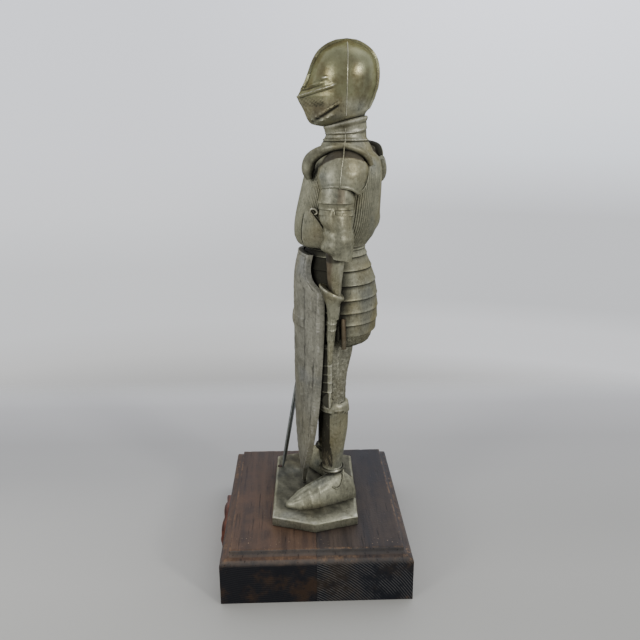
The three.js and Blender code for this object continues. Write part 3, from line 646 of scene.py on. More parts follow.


# Pauldrons: a domed shoulder plate, arched at its lower edge, under a thick turned flange with a hollow, which is
# painted dark as shade, as is the top of the dome under it. The right one is swung back round the chest with its
# arm.
def pauldron(side, swing, shift):
    pivot = 16
    place = figure @ Matrix.Translation((0, pivot + shift, 0))
    place = place @ Matrix.Rotation(swing, 4, "Z") @ Matrix.Translation((0, -pivot, 0))
    dome = [
        (172.8, 3.4, 21.8, 8.6, 2, side * 30, -0.08), (175.4, 2.3, 24, 9.5, 2.2, side * 29.4, -0.05),
        (181, 2, 26.2, 9.8, 2.2, side * 28.6), (187, 4, 24.8, 8.8, 2, side * 27.6),
        (190, 6.7, 21.9, 7, 2, side * 26.9), (192, 9.7, 18.9, 4, 2, side * 26.4),
        (192.9, 12.4, 16.2, 1.6, 2, side * 26), (193, 14.2, 14.4, 0.2, 2, side * 26),
    ]

    def relief(angle, z, px, py):
        lip = ridge(z - 173.5 + 0.07 * (py - 13), 0.45)
        hammered = ripple(py * 0.28, z * 0.28, side * 4.0) * 0.3
        pits = max(0.0, ripple(py * 1.6, z * 1.6, 9.0) - 0.25)
        pits = pits * within(py, 6.5, 10.5, 1.5) * within(z, 176.5, 180, 1)
        left = ridge(py - 4.2, 0.22) * within(z, 173, 181, 1.5) + ridge(py - 5.1, 0.2) * within(z, 173, 180, 1.5)
        # Painted shade: the top of the dome, tucked under the flange, is darkened and browned as the shade there,
        # and sunk a little.
        tucked = fade(z + (0.035 if py < 14 else 0.02) * (py - 14) ** 2, 187.9, 188.9)
        rise = 0.25 * lip + 0.6 * hammered - 0.5 * pits - 0.12 * left - 0.7 * tucked
        return rise, 0.3 * lip - 1.6 * pits - 0.6 * left - 0.75 * tucked + 0.1, 0.7 * tucked

    def arched(p):
        share = 1 - fade(p.z, 173.5, 179)
        return p + Vector((0, 0, share * (1.6 - 0.024 * (p.y - 12) ** 2 - 0.8 * fade(p.y, 17.5, 21))))

    form(dome, levels(172.8, 193, 0.9, (173.5,)), 84, relief, place, arched)
    tuck = 2.2 if side < 0 else 0.0
    flange = [
        (side * 20, -1.6, 177.2), (side * 20.2, -2.4, 182), (side * 21.4, -0.6, 187.4), (side * 25, 5.4, 191.4),
        (side * 28.6, 13, 193), (side * 28, 20.4, 191.6),
        (side * 25.6, 25.4 - tuck, 188.4), (side * 24.6, 27.6 - 1.6 * tuck, 184),
    ]

    def turned_over(angle, t):
        outwards, upwards = math.cos(angle) * side, math.sin(angle)
        # Painted shade darkens the flange's lower outer face, its hollow; a painted highlight runs along its crest,
        # strongest towards the back.
        hollow_and_shade = fade(outwards, 0.2, 0.5) * (1 - fade(upwards, 0.72, 0.88)) * within(t, 0.2, 0.9, 0.1)
        crest = ridge(upwards - 0.97, 0.08) * fade(outwards, -0.3, 0.1)
        mottled = 0.35 * ripple(t * 9, angle * 1.4, side)
        bright = crest * (0.3 + 0.6 * fade(t, 0.6, 0.8)) - 0.9 * hollow_and_shade + mottled - 0.3
        return 0.15 * crest - 0.7 * hollow_and_shade, bright

    tube(flange, [1.6, 3.1, 3.2, 2.7, 2.1, 2.1, 2.2, 1.6], 26, 44, place=place, relief=turned_over)
    rear = [(24.6, 26.6, 185.6), (29.6, 26.2, 180), (32.6, 24.6, 174.8), (33.8, 21.6, 171.8)]
    if side < 0:
        plate = [(side * (x - 1.6), y - 1.4, z) for x, y, z in rear]
        tube(plate, [1.6, 2.2, 2.0, 1.2], 16, 24, place=place, bright=-0.1)
        return
    for inwards in (0.0, 1.2):
        line = [(side * (x + inwards * 0.5), y - inwards, z) for x, y, z in rear]
        tube(line, [0.3, 0.32, 0.32, 0.25], 8, 20, place=place, bright=0.3)


pauldron(1, 0.0, 0)
pauldron(-1, -0.42, 4)
shoulder_seam = [
    (28.4, 14.8, 195.1), (30.5, 14.5, 194), (33, 14.2, 190.6), (35.9, 13.8, 188.4),
    (37.4, 13.1, 184.6), (38.5, 12.5, 180.5), (39, 12.1, 176), (38.7, 12, 174.2),
]
tube(shoulder_seam, [0.25] * 8, 6, 36, bright=0.3, up=(0, 1, 0))


# Arms: lames over the upper arm, a shaped elbow piece with a scalloped front edge, a round
# forearm, and the flared cuff of the gauntlet. Heights run down each limb from its joint.
def along(a, b):
    z = (b - a).normalized()
    x = Vector((0, 1, 0)).cross(z).normalized()
    turned = Matrix((x, z.cross(x), z)).transposed().to_4x4()
    turned.translation = a
    return turned


def arm(shoulder, elbow, wrist, bent):
    upper, lower = figure @ along(shoulder, elbow), figure @ along(elbow, wrist)
    short, long = (elbow - shoulder).length, (wrist - elbow).length
    bend = along(shoulder, wrist)
    bend.translation = elbow
    lame_ends = [short - 17, short - 14.2, short - 11]

    def lames(angle, z, px, py):
        for low, high in zip([0] + lame_ends, lame_ends + [short]):
            if low <= z < high:
                t = (z - low) / (high - low)
                lip = ridge(z - high + 0.35, 0.35)
                beaten = ripple(py * 0.3, z * 0.7, 7.0)
                patch = within(py, -0.4, 2.4, 1) * within(z, 7, 13, 1.5)
                rise = 0.22 * t**2 + 0.12 * lip + 0.25 * beaten - 0.3
                return rise, 0.12 * lip - 0.4 * (1 - fade(t, 0.0, 0.2)) + 0.4 * beaten - 0.15, 0.6 * patch
        return -0.3, 0.0

    upper_arm = [
        (0, -7, 7, 6.4), (6, -8.4, 7.4, 7), (short - 17.5, -9.9, 7.8, 7.8), (short - 15, -9.3, 7.4, 7.5),
        (short - 11.6, -9.2, 7.7, 7.5), (short - 9.6, -7.8, 7.3, 6.9), (short, -6.6, 6.6, 6),
    ]
    form(upper_arm, levels(0, short, 1.3, lame_ends), 54, lames, upper)

    def cup(p):
        share = math.sqrt(max(0.0, 1 - (p.z / 13.6) ** 2)) if bent else 1.0
        flap = 3.2 * fade(p.y, -5.6, -2.7) * (1 - fade(p.y, -2.3, -1.5)) + 0.9 * (1 - fade(p.y, -1.5, 5))
        return Vector((p.x * share, p.y * share, p.z - (0 if bent else flap * (1 - fade(p.z, -11.4, -8.4)))))

    def leathery(angle, z, px, py):
        rough = noise.fractal(Vector((px * 0.4, py * 0.4, z * 0.45)), 1.0, 2.0, 4) * 0.14
        foot, head = ridge(z - 9.2, 0.4), ridge(z + 10.9, 0.4)
        fine = ripple(px * 1.1, py * 1.1, z * 1.1)
        return rough + 0.25 * foot + 0.2 * head + 0.1 * fine, 0.45 * foot + 0.2 * head + rough + 0.4 * fine

    elbow_piece = [
        (-11.4, -7.4, 6.7, 7.3), (-10.2, -8.5, 6.9, 7.8), (-7.9, -8.3, 7, 8.2), (-4.6, -6, 7.2, 8.2),
        (-2.7, -7.1, 7.8, 8.3), (-0.4, -6.7, 8, 8.7), (0.8, -6.6, 8.1, 8.7), (3.4, -7.9, 8, 8.5),
        (5.4, -8, 7.8, 8.1), (6.6, -5.9, 7.7, 7.8), (8.2, -4.2, 7.4, 7.4, 2, 0, 0.1),
        (9.8, -3.6, 7.2, 7, 2, 0, 0.2),
    ]
    form(elbow_piece, levels(-11.4, 9.8, 0.8), 72, leathery, figure @ bend, cup)

    def ropey(angle, z, px, py):
        rough = ripple(px * 0.5, py * 0.5, z * 0.15) * 0.3
        # Painted shade: a dark band where the forearm lies in shadow, and its front tinted dark brown as shade; a
        # lighter band along its back is painted light.
        shadow = 0.9 * within(z, 7, 11.5, 1.2)
        bright = 0.15 + 0.3 * rough + 0.3 * within(py, 1.2, 3.4, 0.8) - shadow
        return rough, bright, 0.75 * (1 - fade(py, -3.6, -1.6))

    form([(3, -5.6, 4.6, 5.6), (long * 0.5, -4.7, 2.7, 4.9), (long, -3.2, 1.4, 3.4)],
         levels(3, long, 1.6), 40, ropey, lower)

    def flared(angle, z, px, py):
        level = z - 0.55 * py
        lip = ridge(level - long * 0.665 - 0.7, 0.4)
        seam_line = ridge(py + 1.6, 0.3)
        return 0.15 * lip + 0.12 * seam_line, 0.55 * lip + 0.3 * seam_line

    cuff = [
        (long * 0.64, -8.2, 3.4, 6.3, 2, 0, 0.55), (long * 0.67, -8.9, 3.8, 6.7, 2, 0, 0.55),
        (long * 0.74, -7, 2.5, 5.6, 2, 0, 0.4), (long * 0.87, -4.9, 0.9, 4.2, 2, 0, 0.12),
        (long, -4.4, 0.5, 3.9, 2, 0, 0),
    ]
    form(cuff, levels(long * 0.64, long, 0.6), 60, flared, lower)


left = [Vector(p) for p in ((31, 12, 181), (31, 11.4, 150), (28.8, 11.2, 109))]
right = [Vector(p) for p in ((-28, 29, 180), (-37, 32.4, 151), (-33, 12.4, 123))]
arm(*left, False)
arm(*right, True)


# Hands: steel gauntlets. The left hangs open, its fingers straight down and its thumb
# against the back of the shield. The right is closed round the grip of the sword.
def finger(points, radii, place=figure):
    def plates(angle, t):
        lame = (t * 6) % 1
        return 0.12 * lame, 0.45 * fade(lame, 0.7, 1.0)

    tube(points, [*radii, radii[-1] * 0.5], 12, 20, place=place, relief=plates, up=(0, 1, 0))


wrist = left[2]
hand = figure @ Matrix.Translation(wrist)


def knuckled(angle, z, px, py):
    tendon = math.cos(px * 2.6) * fade(-z, 6, 10)
    band = ridge(z + 5.5, 0.4) + ridge(z + 2.2, 0.4)
    return 0.16 * tendon + 0.2 * band, 0.5 * band + 0.25 * tendon


form([(-13.6, -4.2, -1.2, 4.3), (-11, -4.6, -0.9, 5.0), (-4, -4.4, 0, 4.7), (1.5, -4.2, 0.4, 3.8)],
     levels(-13.6, 1.5, 0.7, (-5.5, -2.2)), 52, knuckled, hand)
for i, reach in enumerate((21.6, 24, 24.2, 22.2)):
    across = -3.6 + 2.4 * i
    tip = [(across * 0.9, -3.2, 1 - reach), (across * 0.86, -3.1, -reach)]
    finger([(across, -2.7, -11), (across * 0.98, -3, -16), *tip], [1.35, 1.3, 1.15], hand)
thumb_pad = Vector((21.6, 7.7, 98))
thumb_joint = (wrist + thumb_pad) / 2 + Vector((-1.4, -1, -2))
thumb_tip = thumb_pad + Vector((0.6, 0, -3.4))
finger([wrist + Vector((-3, -2.6, -2)), thumb_joint, thumb_pad, thumb_tip], [1.9, 1.7, 1.5, 1.1])

fist = Vector((-30, 2.4, 119))
grasp = figure @ fist
sword_tip = Vector((-18.6, -18.5, plate_top + gap))
held = along(sword_tip, grasp)
held.translation = grasp
hilt = held @ Matrix.Rotation(-0.42, 4, "Z")
fist_half = 5.2
palm = [
    (-fist_half, -4.2, 4.4, 3.4), (-fist_half + 0.6, -4.8, 5, 4.2), (0, -4.4, 5.4, 4.5),
    (fist_half - 0.6, -4.4, 5, 4.2), (fist_half, -3.8, 4.4, 3.4),
]
form(palm, levels(-fist_half, fist_half, 0.8), 40, None, hilt)
for i in range(4):
    z = (i - 1.5) * 2.6
    knuckle = [(3.4, 3.2, z), (4.9, -0.6, z), (3.4, -4.2, z), (-0.4, -5.2, z), (-3.6, -3.8, z), (-4.3, -0.6, z)]
    finger(knuckle, [1.2, 1.35, 1.4, 1.35, 1.3, 1.1], hilt)
finger([fist + Vector(p) for p in ((1, 4.4, 4), (4.6, 0, 3.6), (2.6, -4.4, 2.4))], [1.9, 1.7, 1.3])
tube([right[2], fist + Vector((-2.2, 4.6, 0.6)), fist + Vector((-1, 1, -0.8))], [3.9, 4, 3.4], 24, 16)


# Legs: the thigh is in mail, with plates over its front that end in a turned edge. Below it
# come the knee's wing, the closed greave with its double rim, and the ring at the ankle.
def leg(side, stride, fine):
    def lean(z):
        return stride * max(0.0, 1 - z / 60)

    def middle(z):
        return side * (13.2 - 0.035 * max(0.0, z - 50))

    def rows(*stations):
        return [(z, f + lean(z), b + lean(z), half, 2, middle(z)) for z, f, b, half in stations]

    def links(angle, z, px, py):
        link = mesh_links(angle * 9.4, z, 1.15)
        lump = ripple(px * 0.7, py * 0.7, z * 0.7)
        seam_line = ridge(py - 12.6, 0.3) * within(z, 72, 87.8, 1)
        bright = 0.25 + 0.2 * link + 0.2 * lump + 0.3 * seam_line
        return 0.18 * link + 0.25 * lump - 0.25 + 0.2 * seam_line, bright

    thigh = rows((57, 1.8, 17.4, 8), (72, 0.8, 18, 8.7), (85, 0.2, 20.7, 9.6), (92, 0.4, 22, 9.8))
    form(thigh, levels(57, 92, 0.5 / fine), round(96 * fine), links, cloth=1.0)

    def behind(p):
        """Draws what lies behind a slanting line forwards on to it, so the plates end there"""
        limit = lean(p.z) + 9.2 + 0.7 * fade(p.z, 62, 84)
        return Vector((p.x + (middle(p.z) - p.x) * 0.16 * fade(p.y, limit, limit + 1), min(p.y, limit), p.z))

    plate_edges = [60.4, 65.4, 70.8, 75.3, 80.3, 90.4]

    def thigh_plates(angle, z, px, py):
        for low, high in zip(plate_edges, plate_edges[1:]):
            if low <= z < high:
                t = (z - low) / (high - low)
                lip = ridge(z - low - 0.3, 0.3)
                # Painted light and shade: the side edge of the plates is painted lighter, and their front, turned
                # from the light and shaded by the shield, darker.
                border = fade(py - lean(z), 7.2, 7.9)
                bright = 0.7 * lip * (0.2 + border) + 0.5 * border - 1.1 * (1 - border) * (1 - 0.5 * lip)
                return 0.3 * (1 - t) + 0.15 * lip + 0.35 * border - 0.3, bright
        return -0.3, -0.3

    cuisse = rows((60.4, 0.2, 17, 9), (75, -0.2, 17.4, 9.3), (90.4, -0.6, 17.9, 9.8))
    form(cuisse, levels(60.4, 90.4, 2.0, plate_edges[1:-1]), round(60 * fine), thigh_plates, warp=behind)

    wing_radii = [5.3, 5.1, 4.3, 1.2]

    def winged(angle, t):
        radius = smooth(list(enumerate(wing_radii)), t * 3)[1]
        y = -math.cos(angle) * side * radius
        fold = ridge(y + 1.1, 0.45)
        behind_fold = fade(y, -0.7, 0.1)
        # Painted shade: the front of the knee wing, in shadow, is darkened.
        bright = 0.9 * fold - 0.85 * (1 - fade(y, -1.7, -1.2)) - 0.3 * behind_fold
        return 0.3 * fold - (radius - 0.7) * behind_fold, bright

    wing = [(middle(61) + side * out, 9.4 + lean(61), 61) for out in (6, 8.2, 9.2, 9.7)]
    tube(wing, wing_radii, round(60 * fine), 18, relief=winged)

    def rim_heights(y):
        upper = 55.6 + 0.5 * (1 - fade(y, 7, 9.2)) + 1.4 * fade(y, 9, 12) + 0.5 * fade(y, 12, 17.5)
        return upper, 53.7 + 1.4 * fade(y, 8, 13.2) - 2.8 * fade(y, 15, 19)

    def shin(angle, z, px, py):
        y = py - lean(z)
        upper, lower = rim_heights(y)
        first, second = ridge(z - upper, 0.42), ridge(z - lower, 0.42)
        under = ridge(z - lower + 0.95, 0.4)
        top_edge = ridge(z - 58.2, 0.25) * fade(y, 10, 11.5)
        border = 7.9 + 1.8 * (1 - fade(z, 25, 37))
        # Painted shade: the front half of the greave, in the shield's shadow, is darkened, more so higher up, with
        # scratches left lighter in it and a brown tint low down.
        shaded = (1 - fade(y - border, -0.12, 0.12)) * within(z, 20, 52.6, 1)
        slit = ridge(y - border, 0.22) * within(z, 20, 52, 1)
        ring = within(z, 16.7, 18.3, 0.3)
        below = ridge(z - 15.9, 0.5)
        rise = 0.3 * first + 0.3 * second - 0.4 * under - 0.35 * slit + 0.35 * ring - 0.25 * below - 0.3
        bright = first * (0.95 - 0.45 * fade(y, 12, 16)) + 0.9 * second - 0.9 * under + 0.5 * top_edge
        scratched = shaded * max(0.0, ripple(px * 0.5, y * 2.2 + z * 0.9, z * 0.12)) * 1.2
        # Painted light and shade on the ankle ring: lighter at its back, darker at its front, and a dark band of
        # painted shade under it.
        bright += ring * (1.1 * fade(y, 6, 8) - 0.5) - 0.8 * below + 0.25 * ripple(px, y * 1.6, z * 0.2)
        deep_shade = shaded * (0.75 + 0.4 * fade(z, 26, 34))
        return rise, bright - deep_shade + scratched - 0.5 * slit - 0.12, 0.35 * shaded * (1 - fade(z, 24, 36))

    greave = rows((4, 6.3, 15.2, 4.9), (16.6, 4.3, 15.8, 6), (18.8, 4.3, 15.7, 5.9), (30, 4, 17.2, 6.9),
                  (42, 3.6, 18.9, 8.1), (51.8, 3.3, 19.3, 8.4), (52.8, 2.8, 19.7, 8.8),
                  (54.8, 2.6, 19.6, 8.9), (57.6, 1.8, 18.9, 8.7), (58.5, 2.2, 18, 8.2))
    form(greave, levels(4, 58.5, 1.2 / fine, (16.6, 18.4)), round(84 * fine), shin)
    # The ankle ring: a painted highlight at one place round it, with painted shade round the rest.
    turns = [k / 10 * 2 * math.pi for k in range(11)]
    cuffed = [(middle(17) + 6.5 * math.sin(a), 10 + lean(17) - 6.3 * math.cos(a), 17.5) for a in turns]
    tube(cuffed, [0.85] * 11, 12, round(70 * fine),
         relief=lambda a, t: (0.0, 1.9 * ridge(t - 0.29, 0.045) - 0.7))


leg(1, 0.0, 1.0)
leg(-1, -2.2, 0.5)


# Feet: pointed shoes of plate, turned outwards, with bands along the instep, lames that lap
# towards the toe, and a strap that drops from the ankle behind.
foot_sections = [
    (0, 3, 6), (0.6, 3.6, 8.6), (2, 4.4, 11), (8, 5.6, 16), (12, 6.1, 15.8), (17, 6.7, 14.8), (23, 7.4, 12.4),
    (28.1, 7.3, 9.9), (33.2, 6.3, 7.2), (35.6, 4.9, 5.3), (38.4, 3, 3.5), (40.4, 1.4, 2), (40.8, 0.5, 0.9),
]
toe_lames = [23.1, 28.1, 33.2, 40.8]
shoe_bands = [(44, 1.0), (62, 0.85), (82, 0.7)]  # degrees round the shoe, and how strong


def foot(side, heel, turn, around):
    ahead = Vector((math.sin(turn) * side, -math.cos(turn), 0))
    across = Vector((0, 0, 1)).cross(ahead)
    rings, marks = [], []
    for t in levels(0, 40.8, 0.9, toe_lames[:-1]):  # distance from the heel
        _, half, height = smooth(foot_sections, t)
        lame = [(t - low) / (high - low) for low, high in zip(toe_lames, toe_lames[1:]) if low <= t < high]
        lame = sum(0.15 * share**2 for share in lame)
        lip = sum(ridge(t - edge + 0.3, 0.3) for edge in toe_lames[:-1])
        across_toe = ridge(t - 37, 0.45)
        spread = within(t, 18.5, 36, 1.5)
        ring, mark = [], []
        for k in range(around):
            angle = k / around * 2 * math.pi
            top, out = math.sin(angle), math.cos(angle) * side
            turned = math.degrees(math.atan2(top, out))
            lift = height * top**1.15 if top > 0.01 else -0.6
            bands = sum(size * ridge(turned - middle, 4) for middle, size in shoe_bands) * spread
            between = sum(ridge(turned - middle, 4) for middle in (53, 72, 94)) * spread
            wedge = within(t, 7, 21, 2) * (1 - fade(lift - 0.28 * (t - 5), -0.5, 0.4)) * fade(lift, 0.2, 0.6)
            lines = ridge(lift - 1.1, 0.3) + ridge(lift - 2.4, 0.3) if t < 13 else 0.0
            rise = lame + 0.18 * bands - 0.15 * between + 0.15 * lip + 0.25 * across_toe + 0.2 * lines
            rise *= fade(top, 0.05, 0.3)
            beside = across * math.cos(angle) * (half + rise)
            ring.append(heel + ahead * t + beside + Vector((0, 0, lift + rise * max(0.0, top))))
            rough = ripple(t * 0.35, turned * 0.05, 3.0)
            bright = (0.42 + 0.5 * rough) * bands + 0.05 * lip + 0.25 * across_toe + 0.3 * wedge
            bright = bright + 0.3 * lines - 0.2 * between + 0.35 * rough - 0.16
            mark.append((bright * fade(top, 0.03, 0.2), 0.0))
        rings.append(ring)
        marks.append(mark)
    lay(casting, rings, figure, marks)
    strap = [(7.4, 1.8, 17.6), (8.2, 3.7, 13.5), (10.2, 5, 9.6), (12.6, 5.5, 8.6), (14.9, 5.4, 9.9)]
    line = [heel + ahead * t + across * (side * out) + Vector((0, 0, z)) for t, out, z in strap]
    tube(line, [0.4, 0.42, 0.45, 0.42, 0.35], 10, 36, bright=0.1, up=across)


foot(1, Vector((13.6, 22.6, 0)), 0.31, 84)
foot(-1, Vector((-2.5, 14, 0)), 1.1, 36)


# Foot plate: cut with a rounded edge, drilled for two nails, and set a degree askew.
plate_width, plate_flat, plate_depth = 82.0, 67.0, 46.6
corners = [(plate_width / 2, 0), (plate_flat / 2, plate_depth / 2), (-plate_flat / 2, plate_depth / 2),
           (-plate_width / 2, 0), (-plate_flat / 2, -plate_depth / 2), (plate_flat / 2, -plate_depth / 2)]
slab = bmesh.new()
underside = slab.faces.new([slab.verts.new((x, y, 0)) for x, y in corners])
_, points = extruded(slab, [underside], True)
bmesh.ops.translate(slab, vec=(0, 0, plate_thick), verts=points)
top_edges = [e for e in slab.edges if all(v.co.z > 1 for v in e.verts)]
bmesh.ops.bevel(slab, geom=top_edges, affect="EDGES", offset=1.8, segments=6, profile=0.5, material=-1)
low_edges = [e for e in slab.edges if e.calc_length() > 4 and min(v.co.z for v in e.verts) < 0.1]
bmesh.ops.bevel(slab, geom=low_edges, affect="EDGES", offset=0.3, segments=2, profile=0.5, material=-1)
bmesh.ops.triangulate(slab, faces=[f for f in slab.faces if len(f.verts) > 4])
for _ in range(4):
    long_edges = [e for e in slab.edges if e.calc_length() > 3.6]
    bmesh.ops.subdivide_edges(slab, edges=long_edges, cuts=1)
    bmesh.ops.triangulate(slab, faces=[f for f in slab.faces if len(f.verts) > 4])
layers = [slab.verts.layers.float.new(name) for name in ("wear_and_painted_light", "brown", "mail")]
for v in slab.verts:
    hexagon = max(abs(v.co.y) - plate_depth / 2, (abs(v.co.x) + abs(v.co.y) * 0.3219 - plate_width / 2) * 0.952)
    upper = fade(hexagon, -1.8, -0.5) * fade(v.co.z, plate_thick - 1.9, plate_thick - 0.9)
    lower = fade(hexagon, -1.0, -0.2) * (1 - fade(v.co.z, 0.6, 1.5))
    upright = max(ridge(math.hypot(v.co.x - cx, v.co.y - cy), 1.5) for cx, cy in corners)
    brushed = ripple(v.co.x * 0.3, v.co.y * 0.3, 2.0)
    knocked = fade(v.co.z, plate_thick - 2, plate_thick)
    rubbed_down = fade(v.co.x, 18, 30) * fade(hexagon, -6, 0)
    # Painted light: the flat top is painted darker and its rounded edge and sides lighter; the bright lines along
    # the top edge and up the corners are painted highlights over real rubbing and knocks.
    flank = 1 - fade(v.co.z, plate_thick - 2.2, plate_thick - 0.9)
    flank = max(flank, fade(v.co.x, 22, 31) * fade(hexagon, -5.2, -3.4))
    sides = fade(abs(v.co.y), plate_depth / 2 - 1.8, plate_depth / 2 - 0.6) * (1 - flank)
    stroke = ripple(v.co.x * 0.12, v.co.y * 0.8, 5.0)
    flat_top = (1 - flank) * (0.25 * brushed + 0.3 * stroke - 0.62)
    rub_and_highlight = flat_top + upper * (0.2 + 0.5 * brushed) + 0.5 * sides + flank * (0.6 * brushed - 0.06)
    v[layers[0]] = rub_and_highlight + 0.3 * lower + upright * (0.2 + 0.8 * knocked)
    v[layers[1]] = 0.12 * fade(v.co.z, plate_thick - 0.8, plate_thick - 0.2)
    if v.co.z > 1:
        lowered = noise.noise(v.co * 0.12) * 0.16 - 0.25 * upright * knocked
        v.co.z += lowered - 1.2 * rubbed_down * v.co.z / plate_thick
askew = Matrix.Translation((0, 0.5, plate_top - plate_thick)) @ Matrix.Rotation(-0.02, 4, "Z")
bmesh.ops.transform(slab, matrix=askew, verts=slab.verts)
bmesh.ops.recalc_face_normals(slab, faces=slab.faces)
slab_mesh = bpy.data.meshes.new("foot_plate")
slab.to_mesh(slab_mesh)
slab.free()
casting.from_mesh(slab_mesh)
bpy.data.meshes.remove(slab_mesh)


def patina(base, hollow_and_shade, rubbed_and_lit, tint, tint_share, metal=0.85, lines=0.0):
    """Old cast metal: blotched brown and olive, dark in the hollows and where shade is painted, bright where it is
    rubbed and where highlights are painted
    """

    def paint(place):
        marks = attribute(place, "wear_and_painted_light")
        cloth = attribute(place, "mail")
        browned = attribute(place, "brown")
        blotch = place.noise(90.0, 4.0, 0.6)
        patches = place.noise(34.0, 3.0, 0.5)
        cool = place.noise(52.0, 2.0, 0.5)
        grain = place.noise(2200.0, 2.0, 0.5)
        speck = place.noise(620.0, 4.0, 0.7)
        drag = place.stretched(1300, 1300, 240).noise(1.0, 3.0, 0.6)
        tilted = place.node("Mapping", {"Vector": place, "Rotation": (0.7, 0.2, 0.3)})
        cross = tilted.stretched(1100, 240, 1100).noise(1.0, 2.0, 0.5)
        links = place.node("TexVoronoi", {"Vector": place, "Scale": 1500.0}).between(0.25, 0.55) * cloth
        closed = place.node("AmbientOcclusion", {"Distance": 0.006}, {"samples": 6}, out=1)
        color = blotch.between(0.34, 0.66).mix(times(base, 0.72), times(base, 1.1))
        color = (patches.between(0.42, 0.66) * tint_share).mix(color, tint)
        color = (cool.between(0.54, 0.7) * 0.3).mix(color, (base[0] * 0.8, base[1] * 0.9, base[2] * 1.25))
        color = (speck.between(0.52, 0.68) * 0.4).mix(color, times(base, 1.6))
        color = (speck.between(0.46, 0.32) * 0.4).mix(color, hollow_and_shade)
        scratched = (drag.between(0.55, 0.72) + cross.between(0.6, 0.76)).clamped()
        color = (scratched * 0.3).mix(color, times(base, 1.7))
        color = ((drag.between(0.42, 0.3) + cross.between(0.36, 0.26)).clamped() * 0.28).mix(color, hollow_and_shade)
        # The brown mark is the brown of leather and patina patches, and also painted shade in dark brown on the
        # forearm's front, under the pauldron flange and low on the greave front.
        color = (browned * (0.6 + 0.4 * blotch.between(0.3, 0.6))).clamped().mix(color, (0.085, 0.052, 0.03))
        head = place.axis(2).between(0.2475, 0.2535)
        color = (head * 0.7).mix(color, blotch.between(0.36, 0.6).mix((0.15, 0.13, 0.06), (0.235, 0.24, 0.13)))
        # The hollows and creases hold darker patina; the marks also carry painted shade, and both darken here.
        crease = (1 - closed.between(0.2, 0.85)).clamped()
        sunk_and_shaded = (crease * 0.9 + marks.between(0.0, -1.0) * 0.92 + cloth * 0.12 + links * 0.35).clamped()
        color = sunk_and_shaded.mix(color, hollow_and_shade)
        # Bright where the edges are rubbed and where the marks carry painted highlights.
        rub_and_highlight = (marks.between(0.15, 1.1) * (0.4 + 0.6 * speck.between(0.36, 0.56)) * (1 - 0.8 * crease)).clamped()
        color = rub_and_highlight.mix(color, rubbed_and_lit)
        height = grain * 0.2 + speck * 0.6 + drag * (0.3 + lines) + cross * 0.2 - links * 0.8
        return {
            "Base Color": color,
            "Metallic": (metal - 0.45 * sunk_and_shaded - 0.4 * browned + 0.1 * rub_and_highlight).clamped(),
            "Roughness": (0.29 - 0.13 * head + 0.2 * blotch + 0.25 * sunk_and_shaded + 0.12 * speck - 0.04 * rub_and_highlight).clamped(),
            "Normal": height.bump(0.3, 0.00025),
        }

    return paint


dull_edges = {"Specular_Tint": (0.25, 0.24, 0.2, 1.0), "Specular_IOR_Level": 0.3}
olive = patina((0.3, 0.295, 0.215), (0.018, 0.017, 0.014), (0.66, 0.64, 0.52), (0.26, 0.215, 0.095), 0.5)
spelter = material("aged_spelter", olive, **dull_edges)
piece("knight_casting", casting, spelter, ["knight"], sharp=50)


# Nails: two iron nails driven through the plate into the base, rusted, their heads sunk.
nail_spots = [("nail_front", -20.0, -20.4), ("nail_rear", -5.0, 21.4)]


def rusted(place):
    scale = place.noise(1400.0, 4.0, 0.6)
    return {
        "Base Color": scale.between(0.45, 0.68).mix((0.012, 0.008, 0.006), (0.12, 0.045, 0.016)),
        "Roughness": 0.7 + 0.25 * scale,
        "Normal": scale.bump(0.6, 0.0002),
    }


rust = material("rusted_iron", rusted, Metallic=0.2)
for name, x, y in nail_spots:
    bm = bmesh.new()
    bmesh.ops.create_circle(bm, cap_ends=True, segments=20, radius=0.12)
    tip = list(bm.faces)
    for z, radius in ((1.5, 1.0), (17.6, 1.0), (17.7, 1.4), (18.25, 1.3), (18.4, 0.8)):
        tip, points = extruded(bm, tip, z == 1.5)
        for v in points:
            v.co = Vector((v.co.x, v.co.y, 0)).normalized() * radius + Vector((0, 0, z))
    bmesh.ops.translate(bm, vec=(x, y, plate_top - 18), verts=bm.verts)
    bmesh.ops.recalc_face_normals(bm, faces=bm.faces)
    piece(name + "_iron", bm, rust, [name])


# Shield: a separate, greyer casting, long and bowed, with hollowed upper corners, a wide
# border inside a beaded rim, a plain cross, and a low boss. It stands on its tip and leans
# on the left thumb.
shield_height, shield_half, shield_thick, curve_radius = 139.2, 22.7, 2.2, 26.0
scoop_height, scoop_depth, thumb_radius = 19, 7.4, 1.6
border, cross_half, arms_low, arms_high = 6.9, 2.5, 99.5, 104.5
pad = figure @ thumb_pad
free = curve_radius - thumb_radius - gap
shield_front = pad.y + math.sqrt(free**2 - pad.x**2) - curve_radius - shield_thick
shield_foot = plate_top + gap


def shield_width(z):
    scoop = (z - shield_height + scoop_height) / scoop_height
    if scoop > 0:
        return shield_half - scoop_depth * math.sin(min(1.0, 1.3 * scoop) * math.pi / 2)
    taper = min(1.0, z / (0.72 * shield_height))
    return max(0.9, shield_half * (1 - (1 - taper) ** 5) * (0.86 + 0.14 * taper))


def shield_sag(x):
    return curve_radius - math.sqrt(curve_radius**2 - x**2)


